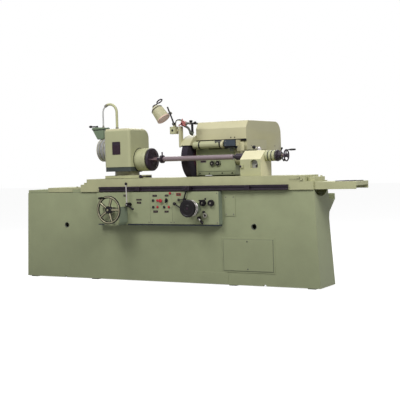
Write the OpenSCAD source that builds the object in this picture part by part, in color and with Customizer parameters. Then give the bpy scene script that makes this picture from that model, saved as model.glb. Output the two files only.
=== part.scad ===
// Universal cylindrical grinder, drawn in millimetres with +Z up.
// It is drawn from the middle of the bed's front face at floor level, with +X to the
// right along the table and +Y to the rear, and to_frame() then moves it to its origin.

/* [Bed] */
// Length of the bed at its top
bed_len = 2960; // [2800:10:3100]
// How much further each end reaches at the floor
bed_draft = 38; // [0:1:60]
// Height of the bed casting
bed_h = 800; // [790:1:840]
// Depth of the bed at its top
bed_w = 290; // [286:1:296]
// Wall of the bed casting
bed_wall = 22; // [16:1:26]
// Height of the raised ways
way_h = 28; // [26:1:34]
// Gap between the floor and the casting
foot_gap = 8; // [6:1:16]
// Width of the rear extension that carries the wheelhead
rear_w = 700; // [680:10:800]
// Distance from the front face to the back of the rear extension
rear_back = 1120; // [1100:10:1200]
// Depth of the control aprons on the front
apron_d = 60; // [58:1:66]
// Height of the control aprons
apron_h = 280; // [276:1:300]

/* [Table] */
// How far the table stands to the right of the bed's middle
table_shift = 320; // [300:5:340]
// Length of the lower table
lower_len = 2320; // [2280:10:2400]
// Thickness of the lower table
lower_t = 44; // [40:1:50]
// Length of the upper table
upper_len = 2180; // [2100:10:2220]
// Thickness of the upper table
upper_t = 48; // [44:1:60]
// Depth of the tables
table_w = 292; // [288:1:300]
// How much narrower the upper table is at the back
upper_step = 18; // [16:1:40]
// Length of the left way guard
left_guard = 290; // [200:10:340]
// Length of the right way guard
right_guard = 355; // [200:10:400]

/* [Work] */
// Height of the work axis above the upper table
centre_h = 165; // [155:1:180]
// Distance from the bed's front face to the work axis
axis_y = 160; // [155:1:165]
// Diameter of the work bar
bar_d = 44; // [30:1:46]
// Length of the work bar
bar_len = 746; // [700:1:760]
// Left end of the work bar
bar_x0 = -71; // [-75:1:-70]

/* [Grinding wheel] */
// Diameter of the grinding wheel
wheel_d = 400; // [380:5:402]
// Width of the grinding wheel
wheel_w = 63; // [50:1:66]
// Left face of the grinding wheel
wheel_x0 = 124; // [122:1:128]
// Gap between the wheel and the bar
wheel_gap = 18; // [17:1:30]

/* [Wheelhead] */
// Length of the wheelhead hood
hood_len = 507; // [500:1:520]
// Front of the wheelhead hood
hood_y0 = 335; // [330:1:340]
// Depth of the wheelhead hood
hood_d = 700; // [690:5:720]
// Height of the hood above the wheelhead body
hood_h = 169; // [160:1:190]
// Height of the wheelhead body
head_h = 305; // [300:1:320]

/* [Headstock] */
// Length of the headstock cover
cover_len = 285; // [270:1:290]
// Depth of the headstock cover
cover_d = 330; // [320:1:334]
// Height of the headstock cover
cover_h = 347; // [330:1:360]
// Diameter of the faceplate and the nose housing
plate_d = 206; // [190:1:208]

/* [Controls] */
// Diameter of the table handwheel
table_wheel_d = 250; // [220:5:260]
// Diameter of the cross-feed handwheel
cross_wheel_d = 150; // [140:1:156]

/* [Hidden] */
$fn = 64;

// Finishes
green = "#98a27e";
shade = "#6d7468";
dark = "#262229";
steel = "#b9bbb8";
red = "#a5222a";
stone = "#5f5a63";

// Shared small sizes
over = 1;
film = 0.05;
fit = 0.05;
seat = 0.3;
sheet = 4;
seam = 1.5;
shaft_r = 10;
hub_r = 14;
knob_r = 13;
rod_r = 6;
screw_r = 6;
screw_h = 3;

// Heights that build on each other
way_top = bed_h + way_h;
lower_z = way_top + film;
lower_top = lower_z + lower_t;
upper_z = lower_top + film;
table_top = upper_z + upper_t;
axis_z = table_top + centre_h;

// Places along the tables
table_front = -12;
table_back = table_front + table_w;
upper_back = table_back - upper_step;
lower_x0 = table_shift - lower_len / 2;
lower_x1 = table_shift + lower_len / 2;
upper_x0 = table_shift - upper_len / 2;
upper_x1 = table_shift + upper_len / 2;
lug_len = 107;

// Bed
frame_y = 150;
half_len = bed_len / 2;
way_front = 8;
way_back = bed_w - bed_wall;
bed_foot_d = 312;
bed_waist_d = 275;
bed_waist_z = 560;
gutter_back = 432;
gutter_low = 690;
gutter_top = 758;
gutter_root = 610;
gutter_wall = 16;
gutter_floor = 22;
rear_mid = 410;
rear_x0 = rear_mid - rear_w / 2;
rear_x1 = rear_mid + rear_w / 2;
deck_t = 25;
rib_top = 640;
rib_t = 30;
rib_xs = [-1080, -620, 0, 620, 1080];
rear_rib_xs = [300, 520];
rear_rib_ys = [560, 930];
way_right_end = 1396;
scoop_w = 270;
scoop_h = 54;
scoop_x0 = 1400;
lift_r = 22;
lift_z = 500;
lift_left = -1023;
lift_right = 936;
notch_r = 14;
notch_left = -1056;
notch_right = 1023;
vee_y = 75;
vee_w = 40;
vee_h = 20;
cross_front = 330;
cross_x0 = 240;
cross_x1 = 565;
cross_vee_x = 290;

// Table drive
trough_mid = 142;
trough_w = 60;
trough_z = bed_h - 60;
cyl_r = 26;
cyl_len = 1000;
cyl_z = bed_h - 30;
foot_t = 30;
piston_r = 10;
rod_left = -800;
rod_right = 1150;
rod_lug = 40;
gear_module = 2.5;
small_teeth = 16;
large_teeth = 48;
pinion_teeth = 20;
pinion_drop = 55;
rack_y0 = 28;
rack_y1 = 46;
rack_play = 4;
rack_back = 90;
rack_count = 92;
rack_reach = 32;

// Front covers
door_x0 = 645;
door_x1 = 1106;
door_z0 = 130;
door_z1 = 392;
door_t = 5;
door_lip = 16;
door_open = 30;
pad_t = 3;
kick_x0 = 289;
kick_x1 = 680;
kick_h = 112;
side_x0 = 663;
side_x1 = 766;
side_z0 = bed_h - 211;
side_z1 = bed_h - 35;

// Aprons
apron_x0 = -620;
apron_x1 = -47;
apron_x2 = 180;
apron_x3 = 640;
apron_z0 = bed_h - apron_h;
face_y = -apron_d;
hand_x = -375;
hand_z = bed_h - 148;
boss_x0 = -465;
boss_x1 = -290;
boss_z0 = bed_h - 290;
boss_z1 = bed_h - 124;
boss_y = -190;
boss_round = 40;
hand_y = -225;
hand_shaft_r = 12.5;
cross_x = 402;
cross_z = bed_h - 138;
cross_boss_r = 60;
cross_boss_y = -108;
feed_r = 15;

// Screw places on the front: x, z and the plane that they stand on
screws = [
    [871, door_z1 - door_lip, -door_t - pad_t], [873, door_z0 + door_lip, -door_t - pad_t],
    [side_x0 + door_lip, side_z1 - door_lip, -sheet], [side_x1 - door_lip, side_z1 - door_lip, -sheet],
    [side_x0 + door_lip, side_z0 + door_lip, -sheet], [side_x1 - door_lip, side_z0 + door_lip, -sheet],
    [apron_x3 - door_lip, apron_z0 + door_lip, face_y], [apron_x3 - door_lip, bed_h - door_lip, face_y],
    [apron_x2 + door_lip, apron_z0 + door_lip, face_y], [apron_x2 + door_lip, bed_h - door_lip, face_y],
    [apron_x2 - door_lip, apron_z0 + door_lip, face_y], [apron_x1 + door_lip, apron_z0 + door_lip, face_y],
    [apron_x1 - door_lip, apron_z0 + door_lip, face_y]];

// Plates on the panels: x, z, width and height
plate_t = 1.5;
plates = [
    [-313, bed_h - 29, 28, 18], [-163, bed_h - 67, 56, 14],
    [-163, bed_h - 93, 46, 18],
    [4, bed_h - 33, 46, 17], [127, bed_h - 32, 38, 17], [9, bed_h - 171, 48, 19], [122, bed_h - 171, 40, 17],
    [248, bed_h - 23, 46, 24]];
// Push buttons, stop button, selector and lamps: x, z
start_a = [-13, bed_h - 74];
start_b = [-13, bed_h - 132];
start_c = [100, bed_h - 132];
stop_at = [69, bed_h - 77];
select_at = [125, bed_h - 75];
lamps = [[31, bed_h - 75], [31, bed_h - 132], [146, bed_h - 132], [162, bed_h - 13]];
lamp_r = 11;
lamp_h = 7;
button_r = 9;
button_h = 9;
collar_r = 13;
collar_h = 5;
travel_room = 12;

// Headstock
head_x0 = -570;
head_x1 = head_x0 + cover_len;
head_base_x0 = -580;
head_base_x1 = -165;
head_base_x2 = -228;
head_lug_y = 90;
head_base_y0 = 20;
head_base_y1 = 256;
head_base_t = 28;
ring_r = 112;
ring_t = 37;
ring_x = -430;
skirt_in = 3;
skirt_h = 40;
head_round = 30;
head_rear_round = 90;
nose_end = -175;
plate_x0 = -165;
plate_t_x = 27;
centre_r = 20;
tip_r = 6;
tip_len = 12;
taper_len = 20;
dog_x0 = -62;
dog_w = 30;
dog_wall = 14;
pin_at = 60;
motor_r = 105;
motor_x0 = -732;
motor_y = 200;
motor_z = axis_z + 100;
fin_h = 5;
fin_count = 10;
box_x0 = -812;
box_foot_x = -757;
box_knob_x = -859;
box_x1 = -685;
box_y0 = 150;
box_y1 = 258;
box_h = 106;
arch_r = 78;
arch_x = -635;
thick_r = 12;
thin_r = 6.5;
collar_turn = 16;
clamp_x = -188;
clamp_len = 118;
clamp_lift = 16;

// Tailstock
tail_x0 = 795;
tail_x1 = 986;
tail_y0 = 50;
tail_y1 = 256;
tail_step_h = 140;
tail_h = 214;
tail_slope = 98;
quill_r = 28;
quill_x0 = 705;
quill_x1 = 1040;
barrel_r = 44;
barrel_x1 = 1084;
barrel_rings = 3;
ring_step = 4;
spigot_r = 16;
spigot_x1 = 1132;
star_x0 = 1087;
star_r = 46;
star_arm = 62;
small_wheel_r = 52;
small_wheel_x = 1172;
arch_w = 70;
arch_depth = 36;
tail_clamp_x = 905;
tail_clamp_y = 195;
tail_clamp_arm = 42;

// Wheelhead
wheel_r = wheel_d / 2;
wheel_y = axis_y + bar_d / 2 + wheel_gap + wheel_r;
guard_gap = 6;
guard_t = 6;
guard_r = wheel_r + guard_gap + guard_t;
guard_side = 14;
guard_x0 = wheel_x0 - guard_side - sheet;
guard_x1 = wheel_x0 + wheel_w + guard_side + sheet;
guard_open = 115;
slide_h = 72;
slide_y0 = 400;
slide_y1 = 955;
slide_x0 = 232;
slide_x1 = 573;
turn_r = 185;
turn_h = 30;
turn_x = 402;
turn_y = 640;
body_x0 = guard_x1;
body_x1 = 590;
body_y0 = 345;
body_y1 = 1000;
body_z0 = lower_z + slide_h + turn_h + film;
body_top = body_z0 + head_h;
body_wall = 45;
shelf_z = axis_z + 74;
shelf_y = 400;
motor_deck_y = 725;
spindle_r = 25;
bush_r = 36;
bush_len = 50;
flange_r = 62;
flange_t = 10;
pulley_r = 55;
head_knob_xs = [364, 421];
head_knob_r = 25;
head_knob_drop = 51;
head_plate_x = 240;
head_plate_w = 60;
head_plate_drop = 42;
pulley_x0 = 602;
pulley_w = 38;
belt_t = 6;
belt_count = 3;
drive_y = hood_y0 + hood_d - 175;
drive_z = axis_z + 65;
drive_r = 112;
drive_x0 = 250;
drive_x1 = 560;
hood_x0 = body_x0 + over;
hood_x1 = hood_x0 + hood_len;
hood_top = body_top + hood_h;
bevel_y = 43;
bevel_z = 60;
hood_rear_r = 110;
case_x0 = 596;
case_z0 = axis_z + 59;
case_y0 = 345;
belt_room = 14;
belt_case_x1 = 656;
isp_y = 290;
isp_z = axis_z + 115;
isp_r = 33;
isp_x0 = body_x0 + 2;
isp_x1 = 520;
isp_pulley_x1 = 618;

// Coolant and lamp
arm_w = 44;
arm_y = 236;
arm_z0 = axis_z + 105;
arm_z1 = axis_z + 288;
arm_t = 20;
tap_x = 132;
tap_y = 256;
tap_z = axis_z + 312;
tap_r = 24;
pipe_r = 10;
spout_r = 9;
elbow_r = 12;
pipe_back = 600;
spout_x = 226;
spout_drop = 95;
lamp_x = 27;
lamp_y = 256;
lamp_z = axis_z + 314;
box_w = 56;
lamp_box_h = 66;
arm_top_x = -35;
arm_top_z = axis_z + 464;
head_pin_share = 0.65;
head_pin_x = lamp_x + head_pin_share * (arm_top_x - lamp_x);
head_pin_z = lamp_z + head_pin_share * (arm_top_z - lamp_z);
lamp_head_x = -150;
lamp_head_z = axis_z + 452;
bell_r = 61;
band_r = 53;
band_t = 7;
bell_len = 116;
neck_len = 32;
cap_r = 22;
cap_len = 14;
bell_wall = 2.5;
bell_tilt = 38;
bracket_len = 46;
eye_y = lamp_y + rod_r + seat;
eye_t = 11;
handle_at = 68;
handle_r = 27;
handle_t = 5;
cable_r = 3.5;
cable = [[46, lamp_y, arm_z1 - 5], [47, lamp_y, lamp_z + 20], [66, lamp_y, lamp_z + 32],
    [104, lamp_y, lamp_z + 22], [tap_x, lamp_y, tap_z + tap_r]];

// Helpers
module to_frame() translate([0, -frame_y, 0]) children();
module block(x0, x1, y0, y1, z0, z1) translate([x0, y0, z0]) cube([x1 - x0, y1 - y0, z1 - z0]);
module rod_x(r, x0, x1, y, z) translate([x0, y, z]) rotate([0, 90, 0]) cylinder(r = r, h = x1 - x0);
module rod_y(r, y0, y1, x, z) translate([x, y1, z]) rotate([90, 0, 0]) cylinder(r = r, h = y1 - y0);
module rod_z(r, z0, z1, x, y) translate([x, y, z0]) cylinder(r = r, h = z1 - z0);
module cone_x(r0, r1, x0, x1, y, z) translate([x0, y, z]) rotate([0, 90, 0])
    cylinder(r1 = r0, r2 = r1, h = x1 - x0);
module extrude_x(x0, x1) translate([x0, 0, 0]) rotate([90, 0, 90]) linear_extrude(x1 - x0) children();
module extrude_y(y0, y1) translate([0, y1, 0]) rotate([90, 0, 0]) linear_extrude(y1 - y0) children();

// A round bar between two points in space
module bar(a, b, r) {
    d = b - a;
    length = norm(d);
    translate(a) rotate([0, acos(d[2] / length), atan2(d[1], d[0])]) cylinder(r = r, h = length);
}

// A flat bar's outline from one point to another
module strip(a, b, r) {
    d = b - a;
    translate(a) rotate(atan2(d[1], d[0])) translate([0, -r]) square([norm(d), 2 * r]);
}

// A hub, a bar and a ball knob in a plane square to Y
module ball_lever(from, to, y, r, ball) {
    bar([from[0], y, from[1]], [to[0], y, to[1]], r);
    translate([to[0], y, to[1]]) sphere(r = ball);
}

// Rectangle with round top corners, from its lowest left corner
module round_top(w, h, left, right) {
    difference() {
        square([w, h]);
        translate([-over, h - left]) square([left + over, left + over]);
        translate([w - right, h - right]) square([right + over, right + over]);
    }
    translate([left, h - left]) circle(r = left);
    translate([w - right, h - right]) circle(r = right);
}

// Spur gear outline with straight flanks
module gear(teeth, bore) {
    pitch_r = gear_module * teeth / 2;
    tip = pitch_r + tip_share * gear_module;
    root = pitch_r - root_share * gear_module;
    step = 360 / teeth;
    difference() {
        union() {
            circle(r = root, $fn = 2 * teeth);
            for (i = [0 : teeth - 1]) rotate(i * step)
                polygon([
                    [root * cos(step / 2) * root_hold_share, -root * sin(step * root_tooth_share)],
                    [tip, -tip * sin(step * tip_tooth_share)],
                    [tip, tip * sin(step * tip_tooth_share)],
                    [root * cos(step / 2) * root_hold_share, root * sin(step * root_tooth_share)]]);
        }
        circle(r = bore);
    }
}
tip_share = 0.8;
root_share = 1.1;
root_tooth_share = 0.32;
tip_tooth_share = 0.12;
root_hold_share = 0.97;

small_r = gear_module * small_teeth / 2;
large_r = gear_module * large_teeth / 2;
pinion_r = gear_module * pinion_teeth / 2;
pinion_z = trough_z - pinion_r + 2 * gear_module;
pinion_x = hand_x + sqrt(pow(small_r + large_r, 2) - pow(pinion_z - hand_z, 2));
mesh_angle = atan2(pinion_z - hand_z, pinion_x - hand_x);
rack_pitch = PI * gear_module;
rack_line = pinion_z + pinion_r;
rack_x0 = pinion_x - rack_reach * rack_pitch;
rack_x1 = rack_x0 + rack_count * rack_pitch;

// Bed
module bed_section() polygon([
    [0, foot_gap], [0, bed_h], [bed_w, bed_h], [bed_w, gutter_top], [gutter_back, gutter_top],
    [gutter_back, gutter_low + bed_wall], [bed_w, gutter_root], [bed_waist_d, bed_waist_z],
    [bed_foot_d, foot_gap]]);

module bed_front() polygon([
    [-half_len - bed_draft, foot_gap], [half_len + bed_draft, foot_gap],
    [half_len, bed_h], [-half_len, bed_h]]);

module vee(x, z, w, h) polygon([[x - w / 2, z], [x, z - h], [x + w / 2, z]]);

module bed_hollow() {
    edges = concat([-half_len + deck_t - rib_t / 2], rib_xs, [half_len - deck_t + rib_t / 2]);
    for (i = [0 : len(edges) - 2])
        block(edges[i] + rib_t / 2, edges[i + 1] - rib_t / 2, bed_wall, bed_waist_d - bed_wall,
            -over, rib_top);
    block(-half_len + deck_t, way_right_end - deck_t, bed_wall, bed_waist_d - bed_wall,
        rib_top - over, bed_h - deck_t);
    xs = concat([rear_x0 + bed_wall - rib_t / 2], rear_rib_xs, [rear_x1 - bed_wall + rib_t / 2]);
    ys = concat([bed_w - rib_t / 2], rear_rib_ys, [rear_back - bed_wall + rib_t / 2]);
    for (i = [0 : len(xs) - 2], j = [0 : len(ys) - 2])
        block(xs[i] + rib_t / 2, xs[i + 1] - rib_t / 2, ys[j] + rib_t / 2, ys[j + 1] - rib_t / 2,
            -over, rib_top);
    block(rear_x0 + bed_wall, rear_x1 - bed_wall, bed_wall, rear_back - bed_wall,
        rib_top - over, bed_h - deck_t);
}

module bed_cuts() {
    scoop_r = (pow(scoop_w / 2, 2) + pow(scoop_h, 2)) / (2 * scoop_h);
    extrude_x(-half_len - over, way_right_end + over) vee(vee_y, way_top, vee_w, vee_h);
    extrude_y(cross_front - over, rear_back + over) vee(cross_vee_x, way_top, vee_w, vee_h);
    block(-way_right_end, way_right_end - deck_t, trough_mid - trough_w / 2, trough_mid + trough_w / 2,
        trough_z, way_top + over);
    block(rack_x0 - table_low - rack_play, rack_x1 + table_high + rack_play, rack_y0 - rack_play,
        rack_y1 + rack_play, bed_h - deck_t - over, way_top + over);
    block(nut_x0 - rack_play, nut_x1 + rack_play, nut_y0 - infeed_low - rack_play,
        nut_y1 + infeed_high + rack_play, bed_h - deck_t - over, way_top + over);
    rod_x(scoop_r, scoop_x0, half_len + bed_draft, trough_mid, bed_h - scoop_h + scoop_r);
    for (x = [lift_left, lift_right]) rod_y(lift_r, -over, bed_wall + over, x, lift_z);
    for (x = [notch_left, notch_right]) rod_y(notch_r, -over, bed_wall + over, x, foot_gap);
    block(door_x0 + door_open, door_x1 - door_open, -pad_t - over, bed_wall + over, door_z0 + door_open,
        door_z1 - door_open);
    rod_y(shaft_r + fit, -over, bed_wall + over, pinion_x, pinion_z);
    rod_y(feed_r + fit, -over, rear_back + over, cross_x, cross_z);
    for (side = [[-half_len - bed_draft, rear_x0], [rear_x1, half_len + bed_draft]])
        block(side[0] - over, side[1], bed_w + gutter_wall, gutter_back - gutter_wall,
            gutter_low + gutter_floor, gutter_top + over);
}
table_low = 450;
table_high = 200;
infeed_low = 15;
infeed_high = 150;
nut_x0 = cross_x - 30;
nut_x1 = cross_x + 30;
nut_y0 = 700;
nut_y1 = 760;

module bed_casting() to_frame() color(green) difference() {
    union() {
        intersection() {
            extrude_x(-half_len - bed_draft, half_len + bed_draft) bed_section();
            extrude_y(-over, gutter_back + over) bed_front();
        }
        block(-half_len, way_right_end, way_front, way_back, bed_h - over, way_top);
        block(rear_x0, rear_x1, bed_waist_d - bed_wall, rear_back, foot_gap, bed_h);
        block(cross_x0, cross_x1, cross_front, rear_back, bed_h - over, way_top);
        block(door_x0 - door_lip, door_x1 + door_lip, -pad_t, over, door_z0 - door_lip, door_z1 + door_lip);
    }
    bed_hollow();
    bed_cuts();
}

module bed_covers() to_frame() color(green) {
    block(door_x0, door_x1, -pad_t - door_t, -pad_t, door_z0, door_z1);
    block(kick_x0, kick_x1, -pad_t, 0, foot_gap + seam, kick_h);
    block(side_x0, side_x1, -sheet, 0, side_z0, side_z1);
}

// Levelling shoes with their screws, under the walls of the bed
shoe_w = 70;
shoe_h = 20;
shoe_r = 11;
foot_places = [[-1440, 36], [-1440, 262], [-720, 36], [-720, 262], [0, 150], [720, 36],
    [1440, 36], [1440, 262], [110, 1080], [710, 1080]];
module levelling_feet() to_frame() color(steel) for (p = foot_places) {
    block(p[0] - shoe_w / 2, p[0] + shoe_w / 2, p[1] - shoe_w / 2, p[1] + shoe_w / 2, 0, foot_gap);
}

// Aprons: a left box with the handwheel boss, the switch panel and the cross-feed box
module apron_box(x0, x1) difference() {
    block(x0 + seam / 2, x1 - seam / 2, face_y, 0, apron_z0, bed_h - seam);
    block(x0 + sheet, x1 - sheet, face_y + sheet, over, apron_z0 + sheet, bed_h - seam - sheet);
}

module apron_covers() to_frame() {
    color(green) difference() {
        union() {
            apron_box(apron_x0, apron_x1);
            difference() {
                block(boss_x0, boss_x1, boss_y, face_y + sheet, boss_z0, boss_z1);
                for (x = [boss_x0, boss_x1]) block(x - boss_round, x + boss_round,
                    boss_y - over, face_y, boss_z0 - over, boss_z0 + boss_round);
            }
            for (x = [boss_x0 + boss_round, boss_x1 - boss_round])
                rod_y(boss_round, boss_y, face_y, x, boss_z0 + boss_round);
        }
        rod_y(hand_shaft_r + fit, boss_y - over, face_y + sheet + over, hand_x, hand_z);
        rod_y(shaft_r + fit, face_y - over, face_y + sheet + over, lever_at[0], lever_at[1]);
    }
    color(green) difference() {
        apron_box(apron_x1, apron_x2);
        for (p = [start_a, start_b, start_c, stop_at, select_at])
            rod_y(button_r + fit, face_y - over, face_y + sheet + over, p[0], p[1]);
    }
    color(green) difference() {
        union() {
            apron_box(apron_x2, apron_x3);
            rod_y(cross_boss_r, cross_boss_y, face_y, cross_x, cross_z);
        }
        rod_y(feed_r + fit, cross_boss_y - over, over, cross_x, cross_z);
        for (p = [reverse_at, rapid_at, infeed_at, dial_at, dwell_at, valve_at])
            rod_y(rod_r + fit, face_y - over, face_y + sheet + over, p[0], p[1]);
    }
}
lever_at = [-262, bed_h - 109];
lever_ball = [-266, bed_h + 76];
lever_tail = [-195, bed_h - 152];
reverse_at = [309, bed_h - 69];
rapid_at = [300, bed_h - 118];
infeed_at = [452, bed_h - 225];
dial_at = [492, bed_h - 96];
dwell_at = [572, bed_h - 98];
valve_at = [514, bed_h - 202];

module cover_screws() to_frame() color(dark)
    for (s = screws) rod_y(screw_r, s[2] - screw_h, s[2], s[0], s[1]);

module panel_trim() to_frame() {
    color(dark) for (p = plates)
        block(p[0] - p[2] / 2, p[0] + p[2] / 2, face_y - plate_t, face_y, p[1] - p[3] / 2, p[1] + p[3] / 2);
    color(steel) for (p = [start_a, start_b, start_c, stop_at]) difference() {
        rod_y(collar_r, face_y - collar_h, face_y, p[0], p[1]);
        rod_y(button_r + seat, face_y - collar_h - over, face_y + over, p[0], p[1]);
    }
    color(red) for (p = lamps) rod_y(lamp_r, face_y - lamp_h, face_y, p[0], p[1]);
}

// Table drive inside the bed
module table_cylinder() to_frame() color(steel) difference() {
    union() {
        rod_x(cyl_r, -cyl_len / 2, cyl_len / 2, trough_mid, cyl_z);
        for (side = [-1, 1])
            translate([(side * (cyl_len - foot_t) - foot_t) / 2, trough_mid - trough_w / 2, trough_z + over])
                cube([foot_t, trough_w, bed_h - trough_z]);
    }
    rod_x(piston_r + fit, -cyl_len, cyl_len, trough_mid, cyl_z);
}

module table_drive() to_frame() color(steel) {
    rod_x(piston_r, rod_left, rod_right, trough_mid, cyl_z);
    for (x = [rod_left, rod_right])
        block(x - rod_lug / 2, x + rod_lug / 2, trough_mid - rod_lug / 2, trough_mid + rod_lug / 2,
            cyl_z - piston_r - gear_module, lower_z);
    extrude_y(rack_y0, rack_y1) union() {
        translate([rack_x0, rack_line + root_share * gear_module])
            square([rack_x1 - rack_x0, lower_z - rack_line - root_share * gear_module]);
        for (i = [0 : rack_count - 1]) translate([rack_x0 + (i + 1 / 2) * rack_pitch, rack_line])
            polygon([
                [-rack_pitch * rack_root_share, (root_share + 1) * gear_module],
                [-rack_pitch * rack_tip_share, -tip_share * gear_module],
                [rack_pitch * rack_tip_share, -tip_share * gear_module],
                [rack_pitch * rack_root_share, (root_share + 1) * gear_module]]);
    }
}
rack_root_share = 0.36;
rack_tip_share = 0.12;

// Lower table with its male vee, skirts, end lug and pivot
module lower_section() {
    polygon([
        [table_front, lower_top], [table_front, skirt_z], [way_front - seam - sheet, skirt_z],
        [way_front - seam, lower_z], [vee_y - vee_w / 2 + vee_h * fit, lower_z],
        [vee_y, lower_z - vee_h + fit * sheet], [vee_y + vee_w / 2 - vee_h * fit, lower_z],
        [way_back + seam, lower_z], [way_back + seam + sheet, skirt_z], [table_back, skirt_z],
        [table_back, lower_top]]);
}
skirt_z = bed_h + sheet;
lug_t = 18;
pivot_r = 20;
pivot_h = 26;
pivot_y = 140;
module lower_table() to_frame() color(green) {
    extrude_x(lower_x0, lower_x1) lower_section();
    block(lower_x0 - lug_len, lower_x0 + over, way_front, way_back, lower_z, lower_z + lug_t);
    rod_z(pivot_r, lower_top - over, lower_top + pivot_h, table_shift, pivot_y);
}

// Dark rail with the dog slot along the front of the lower table
rail_x0 = -620;
rail_x1 = 1262;
rail_y = -34;
rail_z0 = skirt_z + 2;
rail_z1 = lower_z + 21;
slot_z = bed_h + 26;
slot_h = 12;
slot_d = 9;
module dog_rail() to_frame() color(dark) difference() {
    block(rail_x0, rail_x1, rail_y, table_front, rail_z0, rail_z1);
    block(rail_x0 - over, rail_x1 + over, rail_y - over, rail_y + slot_d,
        slot_z - slot_h / 2, slot_z + slot_h / 2);
}

module trip_dog(x) color(steel) {
    block(x - dog_len / 2, x + dog_len / 2, rail_y - dog_t - fit, rail_y - fit,
        rail_z0 + over, rail_z1 - over);
    block(x - dog_len / 2, x + dog_len / 2, rail_y - fit - over, rail_y + slot_d - over,
        slot_z - slot_h / 2 + fit, slot_z + slot_h / 2 - fit);
}
dog_len = 46;
dog_t = 14;
left_dog_x = -190;
right_dog_x = 900;
module trip_dog_left() to_frame() trip_dog(left_dog_x);
module trip_dog_right() to_frame() trip_dog(right_dog_x);

// Sheet guards over the ways at both ends of the table
guard_y0 = 3;
guard_sheet = 3;
module way_guard(x0, x1, top, end_left, end_right) difference() {
    block(x0, x1, guard_y0, way_back + way_front, skirt_z + over, top);
    block(x0 + end_left, x1 - end_right, guard_y0 + guard_sheet, way_back + way_front - guard_sheet,
        way_top, top - guard_sheet);
    block(x0 - over, x1 + over, guard_y0 + guard_sheet, way_back + way_front - guard_sheet,
        skirt_z, way_top + sheet);
}
module way_guards() to_frame() color(green) {
    way_guard(lower_x0 - lug_len - left_guard, lower_x0 - lug_len, lower_z + lug_t, guard_sheet, -over);
    way_guard(lower_x1, lower_x1 + right_guard, lower_z + 2 * lug_t, -over, guard_sheet);
}

bolt_r = 9;
bolt_h = 9;
module end_clamps() to_frame() {
    color(green) {
        block(upper_x1 + clamp_gap, lower_x1 - clamp_gap, end_y0, end_y1, lower_top, lower_top + clamp_h);
        block(lower_x0 + clamp_gap, upper_x0 - clamp_gap, end_y0, end_y1,
            lower_top, lower_top + clamp_h / 2);
    }
    color(dark) for (y = [end_y0 + bolt_r, (end_y0 + end_y1) / 2, end_y1 - bolt_r]) {
        rod_z(bolt_r, lower_z + lug_t, lower_z + lug_t + bolt_h, lower_x0 - lug_len * bolt_share, y);
        rod_z(bolt_r, lower_top + clamp_h, lower_top + clamp_h + bolt_h, (upper_x1 + lower_x1) / 2, y);
    }
}
clamp_gap = 8;
clamp_h = 32;
end_y0 = 30;
end_y1 = 250;
bolt_share = 0.72;

// Upper table with its centre slot and swivel bore
// Bolts on the front of the upper table: from its right end and up from its underside
front_bolts = [[58, 30], [32, 14]];
slot_w = 14;
top_slot_d = 16;
slot_y = 105;
module upper_table() to_frame() {
    color(green) difference() {
        block(upper_x0, upper_x1, table_front + seam, upper_back, upper_z, table_top);
        block(upper_x0 - over, upper_x1 + over, slot_y - slot_w / 2, slot_y + slot_w / 2,
            table_top - top_slot_d, table_top + over);
        rod_z(pivot_r + fit, upper_z - over, lower_top + pivot_h + over, table_shift, pivot_y);
    }
    color(dark) for (b = front_bolts)
        rod_y(bolt_r, table_front + seam - bolt_h, table_front + seam, upper_x1 - b[0], upper_z + b[1]);
}

// Headstock
cover_z0 = table_top + head_base_t + ring_t + skirt_h;
module headstock_base() to_frame() {
    color(green) {
        translate([0, 0, table_top]) linear_extrude(head_base_t) polygon([
            [head_base_x0, head_base_y0], [head_base_x1, head_base_y0], [head_base_x1, head_lug_y],
            [head_base_x2, head_base_y1], [head_base_x0, head_base_y1]]);
    }
    color(steel) rod_z(ring_r, table_top + head_base_t, table_top + head_base_t + ring_t, ring_x, axis_y);
}

module headstock_body() to_frame() {
    color(green) difference() {
        union() {
            block(head_x0 + skirt_in, head_x1 - skirt_in, skirt_in, cover_d - skirt_in,
                cover_z0 - skirt_h, cover_z0);
            block(head_x0 + cast_in, head_x1 - cast_in, cast_in, cover_d - cast_in,
                cover_z0 - over, cover_z0 + cast_h);
            rod_x(plate_d / 2, head_x1 - cast_in - over, nose_end, axis_y, axis_z);
        }
        rod_x(centre_r, head_x0, nose_end + over, axis_y, axis_z);
    }
    color(steel) {
        rod_x(centre_r, head_x1 - cast_in, bar_x0 - taper_len, axis_y, axis_z);
        cone_x(centre_r, tip_r, bar_x0 - taper_len, bar_x0 - seam, axis_y, axis_z);
        cone_x(tip_r, 0, bar_x0 - seam, bar_x0 + tip_len - seam, axis_y, axis_z);
    }
}
cast_in = 30;
cast_h = 250;

module cover_shape(inset) intersection() {
    extrude_y(inset, cover_d - inset) translate([head_x0 + inset, cover_z0])
        round_top(cover_len - 2 * inset, cover_h - inset, head_round - inset, head_round - inset);
    extrude_x(head_x0, head_x1) translate([inset, cover_z0])
        round_top(cover_d - 2 * inset, cover_h - inset, head_round - inset, head_rear_round - inset);
}
name_w = 88;
name_h = 116;
name_x = -476;
name_z = 1137;
module headstock_cover() to_frame() {
    color(green) difference() {
        cover_shape(0);
        translate([0, 0, -over]) cover_shape(sheet);
        rod_x(plate_d / 2 + seam, head_x1 - 2 * sheet, head_x1 + over, axis_y, axis_z);
    }
    color(dark) block(name_x, name_x + name_w, -plate_t, 0, name_z, name_z + name_h);
}

module faceplate() to_frame() color(dark) {
    difference() {
        rod_x(plate_d / 2, plate_x0, plate_x0 + plate_t_x, axis_y, axis_z);
        rod_x(centre_r + fit, plate_x0 - over, plate_x0 + plate_t_x + over, axis_y, axis_z);
    }
    rod_x(rod_r, plate_x0 + plate_t_x - over, dog_x0 + dog_w, axis_y - pin_at, axis_z);
}

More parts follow.
